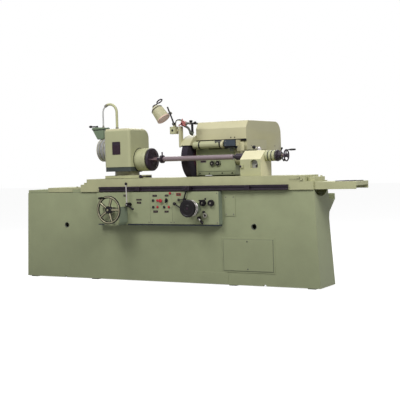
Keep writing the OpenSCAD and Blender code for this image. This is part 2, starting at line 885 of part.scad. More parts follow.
module drive_dog() to_frame() color(dark) difference() {
    union() {
        rod_x(bar_d / 2 + dog_wall, dog_x0, dog_x0 + dog_w, axis_y, axis_z);
        rod_z(rod_r, axis_z, axis_z + bar_d + dog_wall + rod_r, dog_x0 + dog_w / 2, axis_y);
        block(dog_x0, dog_x0 + dog_w, axis_y - pin_at - dog_wall, axis_y, axis_z - rod_r - dog_wall / 2,
            axis_z + rod_r + dog_wall / 2);
    }
    rod_x(bar_d / 2 + fit, dog_x0 - over, dog_x0 + dog_w + over, axis_y, axis_z);
    rod_x(rod_r + fit, dog_x0 - over, dog_x0 + dog_w + over, axis_y - pin_at, axis_z);
}

module work_bar() to_frame() color(stone) difference() {
    rod_x(bar_d / 2, bar_x0, bar_x0 + bar_len, axis_y, axis_z);
    cone_x(tip_r + seat, 0, bar_x0 - over, bar_x0 + tip_len + seat, axis_y, axis_z);
    cone_x(0, tip_r + seat, bar_x0 + bar_len - tip_len - seat, bar_x0 + bar_len + over, axis_y, axis_z);
}

module headstock_motor() to_frame() {
    fin_step = (head_x0 - seam - motor_x0) / fin_count;
    box_top = motor_z + motor_r + box_h;
    color(shade) difference() {
        rod_x(motor_r, motor_x0, head_x0, motor_y, motor_z);
        for (i = [1 : fin_count - 1]) difference() {
            rod_x(motor_r + over, motor_x0 + i * fin_step, motor_x0 + (i + 1 / 2) * fin_step,
                motor_y, motor_z);
            rod_x(motor_r - fin_h, motor_x0, head_x0, motor_y, motor_z);
        }
    }
    color(green) extrude_y(box_y0, box_y1) polygon([
        [box_foot_x, motor_z + motor_r], [box_x1, motor_z + motor_r], [box_x1, box_top], [box_x0, box_top]]);
    color(dark) {
        rod_z(shaft_r, box_top - over, box_top + hub_r + rod_r + over, box_x0 + 2 * hub_r, motor_y);
        rod_x(rod_r, box_knob_x, box_x0 + 2 * hub_r, motor_y, box_top + hub_r);
        translate([box_knob_x, motor_y, box_top + hub_r]) sphere(r = knob_r);
    }
}

// Bent conduit from the cover to the terminal box, thick on the right and thin on the left
module conduit_arch() to_frame() {
    box_top = motor_z + motor_r + box_h;
    arch_z = cover_z0 + cover_h + arch_rise;
    color(green) {
        rod_z(thick_r, cover_z0 + cover_h, arch_z, arch_x + arch_r, motor_y);
        translate([arch_x, motor_y, arch_z]) rotate([90, 0, 0])
            rotate_extrude(angle = thick_turn) translate([arch_r, 0]) circle(r = thick_r);
    }
    color(steel) translate([arch_x, motor_y, arch_z]) rotate([90, 0, 0]) rotate([0, 0, thick_turn])
        rotate_extrude(angle = collar_turn) translate([arch_r, 0]) circle(r = thick_r + seam);
    color(shade) {
        translate([arch_x, motor_y, arch_z]) rotate([90, 0, 0]) rotate([0, 0, thick_turn + collar_turn])
            rotate_extrude(angle = 180 - thick_turn - collar_turn) translate([arch_r, 0]) circle(r = thin_r);
        rod_z(thin_r, box_top, arch_z, arch_x - arch_r, motor_y);
    }
}
arch_rise = 158;
thick_turn = 112;

module headstock_clamp() to_frame() color(dark) {
    y = head_base_y0 - hub_r / 2 - seat;
    z = table_top + clamp_lift;
    rod_y(hub_r, y - hub_r / 2, y + hub_r / 2, clamp_x, z);
    rod_x(rod_r, clamp_x, clamp_x + clamp_len, y, z);
    rod_x(rod_r + seam, clamp_x + clamp_len / 2, clamp_x + clamp_len, y, z);
}

// Tailstock
module tail_section() polygon([
    [tail_y0, table_top], [tail_y0, table_top + tail_step_h], [tail_y0 + tail_slope, table_top + tail_h],
    [tail_y1, table_top + tail_h], [tail_y1, table_top]]);

module tailstock_body() to_frame() {
    step = (barrel_x1 - tail_x1) / barrel_rings;
    color(green) difference() {
        union() {
            extrude_x(tail_x0, tail_x1) tail_section();
            for (i = [0 : barrel_rings - 1]) {
                rod_x(barrel_r - ring_step, tail_x1 - over, tail_x1 + (i + 1) * step, axis_y, axis_z);
                rod_x(barrel_r, tail_x1 + i * step + ring_step, tail_x1 + (i + 1) * step, axis_y, axis_z);
            }
            rod_x(spigot_r, barrel_x1 - over, spigot_x1, axis_y, axis_z);
        }
        rod_x(quill_r + fit, tail_x0 - over, quill_x1 + quill_room, axis_y, axis_z);
        rod_x(shaft_r + fit, quill_x1, spigot_x1 + over, axis_y, axis_z);
        extrude_y(tail_y0 - over, tail_y0 + arch_depth) translate([arch_at[0], arch_at[1]]) {
            circle(r = arch_w / 2);
            translate([-arch_w / 2, -arch_w / 2]) square([arch_w, arch_w / 2]);
        }
    }
    color(dark) rod_y(hub_r / 2, tail_y0 + arch_depth - hub_r, tail_y0 + arch_depth,
        arch_at[0] + hub_r, arch_at[1] - hub_r);
    color(stone) block(tail_x0 + sheet, tail_x0 + sheet + knob_r * 2, tail_y0 - knob_r, tail_y0,
        table_top + tail_step_h / 2, table_top + tail_step_h / 2 + knob_r * 2);
}
arch_at = [925, table_top + 102];
quill_room = 34;

module tail_quill() to_frame() color(steel) {
    difference() {
        rod_x(quill_r, quill_x0, quill_x1, axis_y, axis_z);
        rod_x(shaft_r + seam, small_shaft_x0 - quill_room, quill_x1 + over, axis_y, axis_z);
    }
    cone_x(tip_r, quill_r * quill_nose_share, bar_x0 + bar_len + seam, quill_x0 + over, axis_y, axis_z);
    cone_x(0, tip_r, bar_x0 + bar_len - tip_len + seam, bar_x0 + bar_len + seam, axis_y, axis_z);
}
quill_nose_share = 0.8;
small_shaft_x0 = 960;

module tail_handwheel() to_frame() color(dark) {
    rod_x(shaft_r, small_shaft_x0, small_wheel_x + hub_r, axis_y, axis_z);
    translate([small_wheel_x, axis_y, axis_z]) rotate([0, 90, 0]) {
        rotate_extrude() translate([small_wheel_r - rod_r, 0]) circle(r = rod_r);
        for (a = [0, 120, 240]) rotate([90, 0, a]) cylinder(r = rod_r - over, h = small_wheel_r - rod_r);
    }
    rod_x(rod_r, small_wheel_x, small_wheel_x + crank_len, axis_y, axis_z + small_wheel_r - rod_r);
}
crank_len = 88;

module tail_star() to_frame() color(dark) difference() {
    union() {
        rod_x(star_r, star_x0, star_x0 + hub_r, axis_y, axis_z);
        rod_x(spigot_r * 2, star_x0, spigot_x1, axis_y, axis_z);
        for (a = [star_turn, star_turn + 120, star_turn + 240]) {
            tip = [spigot_x1 - rod_r, axis_y + star_arm * cos(a), axis_z + star_arm * sin(a)];
            bar([spigot_x1 - 2 * rod_r, axis_y + spigot_r * cos(a), axis_z + spigot_r * sin(a)], tip, rod_r);
            translate(tip) sphere(r = rod_r + seam);
        }
    }
    rod_x(spigot_r + fit, star_x0 - over, spigot_x1 + over, axis_y, axis_z);
}
star_turn = 78;

module tail_clamp() to_frame() {
    z = table_top + tail_h;
    grip = [tail_clamp_x - tail_clamp_arm, tail_clamp_y - hub_r, z + 2 * hub_r];
    color(steel) rod_z(hub_r, z, z + hub_r * 2, tail_clamp_x, tail_clamp_y);
    color(dark) {
        bar([tail_clamp_x, tail_clamp_y, z + hub_r], grip, rod_r);
        translate(grip) sphere(r = knob_r);
    }
}

// Wheelhead
module wheelhead_slide() to_frame() color(green) difference() {
    union() {
        extrude_y(slide_y0, slide_y1) polygon([
            [slide_x0, lower_z], [cross_vee_x - vee_w / 2 + vee_h * fit, lower_z],
            [cross_vee_x, lower_z - vee_h + fit * sheet], [cross_vee_x + vee_w / 2 - vee_h * fit, lower_z],
            [slide_x1, lower_z], [slide_x1, lower_z + slide_h], [slide_x0, lower_z + slide_h]]);
        rod_z(turn_r, lower_z + slide_h - over, lower_z + slide_h + turn_h, turn_x, turn_y);
        block(nut_x0, nut_x1, nut_y0, nut_y1, cross_z - feed_r * 2, lower_z + over);
    }
    rod_y(feed_r + fit, nut_y0 - over, nut_y1 + over, cross_x, cross_z);
}

module wheelhead_body() to_frame() {
    color(green) difference() {
        extrude_x(body_x0, body_x1) polygon([
            [body_y0, body_z0], [body_y0, shelf_z], [shelf_y, shelf_z], [shelf_y, body_top],
            [motor_deck_y, body_top], [motor_deck_y, drive_z - drive_r - deck_t],
            [body_y1, drive_z - drive_r - deck_t], [body_y1, body_z0]]);
        block(body_x0 + body_wall + bush_len, body_x1 - body_wall - bush_len, body_y0 + body_wall,
            motor_deck_y - body_wall, body_z0 + body_wall, body_top - body_wall);
        rod_x(bush_r, body_x0 - over, body_x1 + over, wheel_y, axis_z);
    }
    color("#b08a4a") for (x = [body_x0, body_x1 - bush_len]) difference() {
        rod_x(bush_r, x, x + bush_len, wheel_y, axis_z);
        rod_x(spindle_r + fit, x - over, x + bush_len + over, wheel_y, axis_z);
    }
    color(dark) for (x = head_knob_xs)
        rod_y(head_knob_r, body_y0 - knob_r, body_y0, x, axis_z - head_knob_drop);
    color(steel) block(head_plate_x, head_plate_x + head_plate_w, body_y0 - plate_t, body_y0,
        axis_z - head_plate_drop, axis_z - head_plate_drop / 2);
}

module hood_side(inset) {
    h = hood_h - inset;
    difference() {
        translate([hood_y0 + inset, body_top]) square([hood_d - 2 * inset, h]);
        polygon([
            [hood_y0 - over, body_top + hood_h - bevel_z], [hood_y0 + inset, body_top + hood_h - bevel_z],
            [hood_y0 + bevel_y, body_top + h], [hood_y0 + bevel_y, body_top + hood_h + over],
            [hood_y0 - over, body_top + hood_h + over]]);
        translate([hood_y0 + hood_d - hood_rear_r, body_top + hood_h - hood_rear_r])
            square([hood_rear_r + over, hood_rear_r + over]);
    }
    translate([hood_y0 + hood_d - hood_rear_r, body_top + hood_h - hood_rear_r])
        circle(r = hood_rear_r - inset);
    translate([motor_deck_y + sheet + inset, rear_skirt_z + inset])
        square([hood_y0 + hood_d - motor_deck_y - sheet - 2 * inset, body_top - rear_skirt_z + over]);
}
rear_skirt_z = drive_z - drive_r + over * 4;

module belt_track(r) {
    angle = atan2(drive_z - axis_z, drive_y - wheel_y);
    span = norm([drive_y - wheel_y, drive_z - axis_z]);
    translate([wheel_y, axis_z]) {
        circle(r = r);
        rotate(angle) {
            translate([0, film - r]) square([span, 2 * (r - film)]);
            translate([span, 0]) circle(r = r);
        }
    }
}

module wheelhead_cover() to_frame() color(green) difference() {
    union() {
        extrude_x(hood_x0, hood_x1) hood_side(0);
        block(case_x0, hood_x1, case_y0, hood_y0 + hood_d, case_z0, body_top + over);
        extrude_x(case_x0, belt_case_x1) belt_track(pulley_r + belt_room + sheet);
    }
    extrude_x(hood_x0 + sheet, hood_x1 - sheet) translate([0, -over]) hood_side(sheet);
    block(case_x0 - over, hood_x1 - sheet, case_y0 + sheet, hood_y0 + hood_d - sheet,
        case_z0 + sheet, body_top + 2 * over);
    block(hood_x0 + sheet, case_x0, motor_deck_y + 2 * sheet, hood_y0 + hood_d - sheet,
        rear_skirt_z - over, body_top);
    extrude_x(case_x0 - over, belt_case_x1 - sheet) belt_track(pulley_r + belt_room);
    block(hood_x0 - over, case_x0, hood_y0 - over, motor_deck_y + sheet, rear_skirt_z - over, body_top);
}

module wheel_guard() to_frame() {
    color(green) difference() {
        rod_x(guard_r, guard_x0, guard_x1, wheel_y, axis_z);
        rod_x(guard_r - guard_t, guard_x0 + sheet, guard_x1 - sheet, wheel_y, axis_z);
        block(guard_x0 - over, guard_x1 + over, wheel_y - guard_r - over, wheel_y - flange_r,
            axis_z - guard_r - over, axis_z + guard_open);
        block(guard_x0 - over, guard_x1 + over, wheel_y - guard_r - over, wheel_y + guard_r + over,
            axis_z - guard_r - over, body_z0 + over);
        rod_x(flange_r + over, guard_x0 - over, guard_x1 + over, wheel_y, axis_z);
    }
    color(green) block(guard_x0 - arm_t, guard_x0, arm_y, arm_y + arm_w, arm_z0, arm_z1);
    color(green) block(lamp_x - box_w / 2, lamp_x + box_w / 2, lamp_y - box_w / 2, lamp_y + box_w / 2,
        arm_z1 - lamp_box_h, arm_z1);
    color(green) block(lamp_x + box_w / 2, guard_x0 - arm_t, arm_y + hub_r, arm_y + arm_w - hub_r,
        arm_z1 - lamp_box_h / 2 - arm_t / 2, arm_z1 - lamp_box_h / 2 + arm_t / 2);
    color(steel) rod_z(shaft_r, arm_z1 - over, lamp_z - hub_r - seat, lamp_x, lamp_y);
    color(dark) for (i = [0 : len(cable) - 2]) {
        bar(cable[i], cable[i + 1], cable_r);
        translate(cable[i]) sphere(r = cable_r + seat);
    }
}

module grinding_wheel() to_frame() color(stone) difference() {
    rod_x(wheel_r, wheel_x0, wheel_x0 + wheel_w, wheel_y, axis_z);
    rod_x(spindle_r + fit, wheel_x0 - over, wheel_x0 + wheel_w + over, wheel_y, axis_z);
}

module wheel_spindle() to_frame() color(steel) {
    rod_x(spindle_r, guard_x0 - seam, pulley_x0 + pulley_w, wheel_y, axis_z);
    difference() {
        union() {
            rod_x(flange_r, wheel_x0 - flange_t, wheel_x0 - fit, wheel_y, axis_z);
            rod_x(flange_r, wheel_x0 + wheel_w + fit, wheel_x0 + wheel_w + flange_t, wheel_y, axis_z);
            rod_x(pulley_r, pulley_x0, pulley_x0 + pulley_w, wheel_y, axis_z);
        }
        rod_x(spindle_r - over, wheel_x0 - flange_t - over, pulley_x0 + pulley_w + over, wheel_y, axis_z);
    }
}

module spindle_motor() to_frame() color(shade) {
    difference() {
        union() {
            rod_x(drive_r, drive_x0, drive_x1, drive_y, drive_z);
            block(drive_x0 + deck_t, drive_x1 - deck_t, drive_y - drive_r, drive_y + drive_r,
                drive_z - drive_r - deck_t, drive_z - drive_r + deck_t);
        }
        rod_x(hand_shaft_r + fit, drive_x1 - deck_t * 2, drive_x1 + over, drive_y, drive_z);
    }
}

module motor_pulley() to_frame() color(steel) {
    rod_x(hand_shaft_r, drive_x1 - deck_t, pulley_x0 + pulley_w, drive_y, drive_z);
    rod_x(pulley_r, pulley_x0, pulley_x0 + pulley_w, drive_y, drive_z);
}

module drive_belts() to_frame() color(dark) {
    pitch = pulley_w / belt_count;
    for (i = [0 : belt_count - 1]) {
        x0 = pulley_x0 + i * pitch + over;
        extrude_x(x0, x0 + pitch - 2 * over) difference() {
            belt_track(pulley_r + seat + belt_t);
            belt_track(pulley_r + seat);
        }
    }
}

// Internal grinding spindle, parked under the front edge of the hood
isp_flange = 34;
isp_step = 12;
isp_bracket_x0 = 300;
isp_bracket_x1 = 430;
module internal_spindle() to_frame() color(green) difference() {
    union() {
        rod_x(isp_r, isp_x0, isp_x0 + isp_flange, isp_y, isp_z);
        rod_x(isp_r - ring_step, isp_x0, isp_x1, isp_y, isp_z);
        rod_x(isp_r, isp_x0 + isp_flange + isp_step, isp_x1 - isp_flange - isp_step, isp_y, isp_z);
        rod_x(isp_r, isp_x1 - isp_flange, isp_x1, isp_y, isp_z);
        block(isp_bracket_x0, isp_bracket_x1, isp_y, shelf_y, isp_z - isp_r, body_top - over);
    }
    rod_x(shaft_r + fit, isp_x0 - over, isp_x1 + over, isp_y, isp_z);
}

module internal_pulley() to_frame() color(dark) {
    rod_x(shaft_r, isp_x0 + over, isp_pulley_x1, isp_y, isp_z);
    rod_x(isp_r - over, isp_x1 + ring_step, isp_pulley_x1, isp_y, isp_z);
}

// Coolant tap on its arm, and the pipe that feeds it
module coolant_tap() to_frame() color(red) {
    y = tap_y - tap_r - hub_r / 2;
    rod_y(hub_r - over, tap_y - tap_r - hub_r, tap_y - tap_r - seat, tap_x, tap_z);
    rod_y(rod_r - fit, tap_y - tap_r - over, tap_y - shaft_r, tap_x, tap_z);
    extrude_y(y - rod_r, y + rod_r) for (a = [tap_turn, tap_turn + 120, tap_turn + 240]) {
        end = [tap_x + tap_arm * cos(a), tap_z + tap_arm * sin(a)];
        strip([tap_x, tap_z], end, rod_r);
        translate(end) circle(r = rod_r + seam);
    }
}
tap_turn = 85;
tap_arm = 36;

module coolant_pipe() to_frame() color(shade) {
    difference() {
        rod_y(tap_r, tap_y - tap_r, tap_y + tap_r, tap_x, tap_z);
        rod_y(rod_r, tap_y - tap_r - over, tap_y, tap_x, tap_z);
    }
    rod_x(pipe_r, tap_x, spout_x, tap_y, tap_z);
    rod_z(spout_r, tap_z - spout_drop, tap_z, spout_x, tap_y);
    rod_y(spout_r, tap_y, pipe_back, pipe_x, tap_z);
    rod_z(spout_r, tap_z - pipe_drop, tap_z, pipe_x, pipe_back);
    rod_x(pipe_r, pipe_x, hood_x0, pipe_back, tap_z - pipe_drop);
    for (p = [[spout_x, tap_y, tap_z], [pipe_x, pipe_back, tap_z], [pipe_x, pipe_back, tap_z - pipe_drop]])
        translate(p) sphere(r = elbow_r);
    block(guard_x0 - arm_t, tap_x, arm_y + hub_r, arm_y + arm_w - hub_r, arm_z1, tap_z);
    rod_z(knob_r - over, tap_z + over, tap_z + knob_r + rod_r, pipe_knob_x, tap_y);
    rod_x(rod_r, spout_x, end_knob_x, tap_y, tap_z);
    rod_x(knob_r - over, end_knob_x, end_knob_x + hub_r, tap_y, tap_z);
}
pipe_x = 176;
pipe_drop = 40;
pipe_knob_x = 205;
end_knob_x = 241;

// Machine lamp: a jointed arm and a bell head
module lamp_arm() to_frame() color(steel) {
    rod_y(hub_r, lamp_y - hub_r, lamp_y + hub_r, lamp_x, lamp_z);
    bar([lamp_x, lamp_y, lamp_z], [arm_top_x, lamp_y, arm_top_z], rod_r);
    rod_y(rod_r - over, lamp_y, eye_y + eye_t + sheet, head_pin_x, head_pin_z);
}

module lamp_head() to_frame() {
    translate([lamp_head_x, lamp_y, lamp_head_z]) rotate([0, 180 - bell_tilt, 0]) {
        color(green) difference() {
            union() {
                cylinder(r1 = band_r, r2 = bell_r, h = bell_len);
                translate([0, 0, -neck_len]) cylinder(r1 = cap_r, r2 = band_r, h = neck_len);
            }
            translate([0, 0, bell_wall])
                cylinder(r1 = band_r - bell_wall, r2 = bell_r - bell_wall, h = bell_len);
        }
        color(dark) {
            translate([0, 0, -neck_len - cap_len]) cylinder(r = cap_r, h = cap_len + over);
            translate([-handle_at, 0, -neck_len - cap_len / 2]) {
                rotate_extrude() translate([handle_r, 0]) circle(r = handle_t);
                rod_x(handle_t, handle_r, handle_at, 0, 0);
            }
        }
        color(dark) translate([0, 0, -band_t / 2]) cylinder(r = band_r + bell_wall, h = band_t);
    }
    color(steel) difference() {
        union() {
            rod_y(hub_r - over, eye_y, eye_y + eye_t, head_pin_x, head_pin_z);
            rod_x(rod_r - 2 * over, head_pin_x - bracket_len, head_pin_x, eye_y + eye_t / 2, head_pin_z);
        }
        rod_y(rod_r - over + fit, eye_y - over, eye_y + eye_t + over, head_pin_x, head_pin_z);
    }
}

// Hand controls
rim_r = 11;
spokes = 5;
grip_at = 112;
module table_handwheel() to_frame() {
    color(steel) translate([hand_x, hand_y, hand_z]) rotate([90, 0, 0]) {
        rotate_extrude() translate([table_wheel_d / 2 - rim_r, 0]) circle(r = rim_r);
        cylinder(r = hub_r * 2, h = hub_r * 2, center = true);
        for (i = [0 : spokes - 1]) rotate([90, 0, i * 360 / spokes])
            cylinder(r = rod_r, h = table_wheel_d / 2 - rim_r);
    }
    grip_r = table_wheel_d / 2 - rim_r;
    color(dark) rod_y(rim_r, hand_y - crank_len, hand_y,
        hand_x + grip_r * cos(grip_at), hand_z + grip_r * sin(grip_at));
    color(steel) {
        rod_y(hand_shaft_r, hand_y, gear_y1, hand_x, hand_z);
        translate([hand_x, 0, hand_z]) extrude_y(gear_y0, gear_y1)
            rotate(mesh_angle) gear(small_teeth, hand_shaft_r - over);
    }
}
gear_y0 = -46;
gear_y1 = -26;

module rack_pinion() to_frame() color(steel) translate([pinion_x, 0, pinion_z]) {
    rod_y(shaft_r, gear_y0 - sheet, rack_y1 + sheet, 0, 0);
    extrude_y(gear_y0, gear_y1)
        rotate(mesh_angle + 180 + 180 / large_teeth) gear(large_teeth, shaft_r - over);
    extrude_y(rack_y0, rack_y1) rotate(90) gear(pinion_teeth, shaft_r - over);
}

lever_y = -105;
module table_lever() to_frame() {
    color(dark) {
        rod_y(hub_r + rod_r, lever_y - shaft_r, face_y - seat, lever_at[0], lever_at[1]);
        rod_y(shaft_r, face_y - over, face_y + sheet + over, lever_at[0], lever_at[1]);
        bar([lever_at[0], lever_y, lever_at[1]], [lever_tail[0], lever_y, lever_tail[1]], rod_r + seam);
        translate([lever_ball[0], lever_y, lever_ball[1]]) sphere(r = knob_r);
    }
    color(steel) bar([lever_at[0], lever_y, lever_at[1]], [lever_ball[0], lever_y, lever_ball[1]], rod_r);
}

cross_y = -185;
disc_t = 24;
dial_y = -150;
dial_t = 36;
module cross_handwheel() to_frame() {
    color(dark) rod_y(cross_wheel_d / 2, cross_y, cross_y + disc_t, cross_x, cross_z);
    color(steel) {
        rod_y(cross_wheel_d / 2 - sheet, dial_y, dial_y + dial_t, cross_x, cross_z);
        rod_y(feed_r, cross_y + disc_t - over, rear_back - bed_wall / 2, cross_x, cross_z);
    }
}

reverse_y = -76;
reverse_knob = [256, bed_h - 69];
block_x0 = 304;
block_x1 = 366;
block_z0 = bed_h + 8;
block_z1 = lower_z + 20;
block_y0 = -82;
block_y1 = -36;
module reversing_lever() to_frame() color(dark) {
    rod_y(hub_r, reverse_y - rod_r - over, face_y - seat, reverse_at[0], reverse_at[1]);
    rod_y(rod_r, face_y - over, face_y + sheet + over, reverse_at[0], reverse_at[1]);
    bar([reverse_at[0], reverse_y, reverse_at[1]],
        [(block_x0 + block_x1) / 2, reverse_y, block_z0 + rod_r], rod_r);
    ball_lever(reverse_at, reverse_knob, reverse_y, rod_r, hub_r - 2 * over);
    block(block_x0, block_x1, block_y0, block_y1, block_z0, block_z1);
}

panel_y = -82;
module panel_lever(at, points, ball) {
    rod_y(hub_r, panel_y - rod_r - over, face_y - seat, at[0], at[1]);
    rod_y(rod_r, face_y - over, face_y + sheet + over, at[0], at[1]);
    extrude_y(panel_y - rod_r + over, panel_y + rod_r) {
        for (i = [0 : len(points) - 2]) strip(points[i], points[i + 1], rod_r);
        for (p = points) translate(p) circle(r = rod_r + seat);
    }
    translate([points[0][0], panel_y, points[0][1]]) rotate([0, 0, -90]) sphere(r = ball);
}
rapid_points = [[217, bed_h - 103], [246, bed_h - 119], [268, bed_h - 134], rapid_at];
infeed_points = [[487, bed_h - 263], infeed_at];
module rapid_lever() to_frame() color(dark) panel_lever(rapid_at, rapid_points, knob_r + 2 * over);
module infeed_lever() to_frame() color(dark) panel_lever(infeed_at, infeed_points, knob_r);

dial_r = 28;
dial_h = 26;
module feed_dial() to_frame() color(dark) {
    rod_y(dial_r, face_y - dial_h, face_y - seat, dial_at[0], dial_at[1]);
    rod_y(rod_r, face_y - over, face_y + sheet + over, dial_at[0], dial_at[1]);
    block(dial_at[0] - dial_r, dial_at[0] + dial_r + rod_r, face_y - dial_h - rod_r, face_y - dial_h + over,
        dial_at[1] + dial_r / 2, dial_at[1] + dial_r);
    translate([dial_at[0] + dial_r + rod_r, face_y - dial_h, dial_at[1] + dial_r + rod_r])
        sphere(r = hub_r - rod_r);
}

module dwell_dial() to_frame() color(dark) {
    rod_y(dial_r, face_y - dial_h, face_y - seat, dwell_at[0], dwell_at[1]);
    rod_y(rod_r, face_y - over, face_y + sheet + over, dwell_at[0], dwell_at[1]);
}

module valve_knob() to_frame() color(dark) {
    rod_y(hub_r, face_y - hub_r, face_y - seat, valve_at[0], valve_at[1]);
    rod_y(rod_r, face_y - over, face_y + sheet + over, valve_at[0], valve_at[1]);
    translate([valve_at[0], face_y - hub_r - rod_r + over, valve_at[1]]) rotate([90, 0, 0])
        rotate_extrude() translate([hub_r + over, 0]) circle(r = rod_r);
    ball_lever(valve_at, [valve_at[0] - hub_r, valve_at[1] + 2 * hub_r], face_y - hub_r,
        rod_r, hub_r - 2 * over);
}

module start_button(at) rod_y(button_r, face_y - button_h, face_y + travel_room, at[0], at[1]);
module start_button_a() to_frame() color(dark) start_button(start_a);
module start_button_b() to_frame() color(dark) start_button(start_b);
module start_button_c() to_frame() color(dark) start_button(start_c);

stop_r = 17;
stop_gap = 7;
module stop_button() to_frame() color(red) {
    rod_y(button_r, face_y - collar_h - stop_gap, face_y + travel_room, stop_at[0], stop_at[1]);
    rod_y(stop_r, face_y - collar_h - stop_gap - button_h, face_y - collar_h - stop_gap,
        stop_at[0], stop_at[1]);
}

selector_r = 15;
module selector_switch() to_frame() color(dark) {
    rod_y(button_r, face_y - over, face_y + travel_room, select_at[0], select_at[1]);
    rod_y(selector_r, face_y - button_h - over, face_y - seat, select_at[0], select_at[1]);
    translate([select_at[0], 0, select_at[1]]) rotate([0, select_turn, 0])
        block(-rod_r, rod_r, face_y - button_h * 2, face_y - button_h,
            -selector_r - rod_r, selector_r + rod_r);
}
select_turn = 12;

bed_casting();
bed_covers();
levelling_feet();
apron_covers();
cover_screws();
panel_trim();
table_cylinder();
lower_table();
table_drive();
dog_rail();
way_guards();
end_clamps();
trip_dog_left();
trip_dog_right();
upper_table();
headstock_base();
headstock_body();
headstock_cover();
faceplate();
drive_dog();
work_bar();
headstock_motor();
conduit_arch();
headstock_clamp();
tailstock_body();
tail_quill();
tail_handwheel();
tail_star();
tail_clamp();
wheelhead_slide();
wheelhead_body();
wheelhead_cover();
wheel_guard();
grinding_wheel();
wheel_spindle();
spindle_motor();
motor_pulley();
drive_belts();
internal_spindle();
internal_pulley();
coolant_tap();
coolant_pipe();
lamp_arm();
lamp_head();
table_handwheel();
rack_pinion();
table_lever();
cross_handwheel();
reversing_lever();
rapid_lever();
infeed_lever();
feed_dial();
dwell_dial();
valve_knob();
start_button_a();
start_button_b();
start_button_c();
stop_button();
selector_switch();
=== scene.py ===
"""Looks of the cylindrical grinder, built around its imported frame.

Pieces are drawn in millimetres from the middle of the bed's front face at floor level,
as the maker's drawing has them, and go into the frame's metres when they are finished.
"""

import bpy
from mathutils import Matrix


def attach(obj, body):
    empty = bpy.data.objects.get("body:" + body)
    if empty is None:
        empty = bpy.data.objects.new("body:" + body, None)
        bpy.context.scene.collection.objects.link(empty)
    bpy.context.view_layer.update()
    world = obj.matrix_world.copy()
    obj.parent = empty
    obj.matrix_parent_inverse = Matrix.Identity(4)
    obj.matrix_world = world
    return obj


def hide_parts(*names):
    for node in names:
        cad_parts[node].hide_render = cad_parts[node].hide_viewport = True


bl_info = {
    "name": "Cylindrical Grinder",
    "version": (1, 0, 0),
    "blender": (4, 5, 0),
    "location": "View3D > Sidebar > Grinder",
    "description": "Dresses the grinder's frame with its finished pieces, and sets its stage",
    "category": "Object",
}

from math import cos, pi, radians, sin

import bmesh
import bpy
from bpy.props import FloatProperty, FloatVectorProperty, IntProperty, PointerProperty
from bpy.types import Operator, Panel, PropertyGroup
from mathutils import Matrix, Vector

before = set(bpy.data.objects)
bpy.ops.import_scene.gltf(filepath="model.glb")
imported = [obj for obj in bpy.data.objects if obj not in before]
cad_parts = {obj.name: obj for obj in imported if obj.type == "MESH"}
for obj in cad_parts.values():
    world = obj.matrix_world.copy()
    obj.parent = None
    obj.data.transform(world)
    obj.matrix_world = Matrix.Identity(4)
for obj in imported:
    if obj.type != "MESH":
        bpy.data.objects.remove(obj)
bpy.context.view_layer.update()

# The frame's origin lies this far behind the bed's front face
FRAME_Y = 150.0
TO_FRAME = Matrix.Scale(0.001, 4) @ Matrix.Translation((0, -FRAME_Y, 0))
X, Y, Z = Vector((1, 0, 0)), Vector((0, 1, 0)), Vector((0, 0, 1))

# Axes of the work and of the wheel, and the front of the aprons
WORK_AXIS = (0, 160, 1085.1)
WHEEL_AXIS = (0, 400, 1085.1)
FACE = -60.0
# Points closer than this many millimetres are one point
MERGE = 0.002

# Ends of a finish's patches, spread of its dullness, depth of its relief in metres,
# height in metres up to which a finish darkens towards the bottom, and how dark it gets there
PATCH_LOW, PATCH_HIGH = 0.3, 0.7
DULL_SPREAD = 0.07
RELIEF_DEPTH = 0.0006
DARKEN_TOP, DARKEN_FACTOR = 0.7, 0.72


# ---------------------------------------------------------------- settings


def colour(name, description, rgb):
    return FloatVectorProperty(
        name=name, description=description, subtype="COLOR_GAMMA", size=3, min=0, max=1,
        default=[c / 255 for c in rgb],
    )


class GrinderPaint(PropertyGroup):
    """Colours of the machine's finishes."""

    green: colour("Green enamel", "Enamel on the headstock's covers", (170, 171, 135))
    hood: colour("Hood enamel", "Enamel on the wheelhead's hood and guard", (181, 177, 142))
    casting: colour("Casting enamel", "Enamel on the bed and its aprons", (152, 158, 124))
    upper: colour("Table enamel", "Enamel on the tables and the heads", (175, 175, 137))
    shade: colour("Grey enamel", "Darker enamel on skirts and motors", (92, 95, 86))
    dark: colour("Dark enamel", "Purple-black enamel on rails and fittings", (40, 31, 41))
    red: colour("Signal red", "Push buttons and lamps", (170, 40, 50))
    rose: colour("Tap red", "Faded red of the coolant tap", (165, 98, 94))
    steel: colour("Dark ground steel", "Bar and quill", (118, 98, 102))
    grit: colour("Wheel grit", "Bonded grit of the grinding wheel", (50, 45, 53))
    roughness: FloatProperty(
        name="Enamel roughness", description="How dull the enamel is", default=0.42, min=0.1, max=1.0
    )


class GrinderDetail(PropertyGroup):
    """Sizes and counts of small details."""

    casting_edge: FloatProperty(
        name="Casting edge", description="Radius of a casting's edges", default=0.004,
        min=0.001, max=0.01, unit="LENGTH",
    )
    spokes: IntProperty(
        name="Handwheel spokes", description="Spokes of the table handwheel", default=5, min=3, max=7
    )
    dial_marks: IntProperty(
        name="Dial marks", description="Graduations on the cross-feed dial", default=60, min=20, max=120
    )
    floor_size: FloatProperty(
        name="Floor size", description="Side of the studio floor", default=60.0, min=20.0, max=200.0,
        unit="LENGTH",
    )


# ---------------------------------------------------------------- materials


def linear(rgb):
    """A display colour as the linear one that shaders take."""
    return [c / 12.92 if c <= 0.04045 else ((c + 0.055) / 1.055) ** 2.4 for c in rgb] + [1.0]


def shifted(rgb, by):
    return [min(1.0, max(0.0, c * by)) for c in rgb]


def add_node(tree, kind, sockets=(), **settings):
    """A new shader node, with the values of its sockets and its settings."""
    made = tree.nodes.new("ShaderNode" + kind)
    for name, value in dict(sockets).items():
        made.inputs[name].default_value = value
    for name, value in settings.items():
        setattr(made, name, value)
    return made


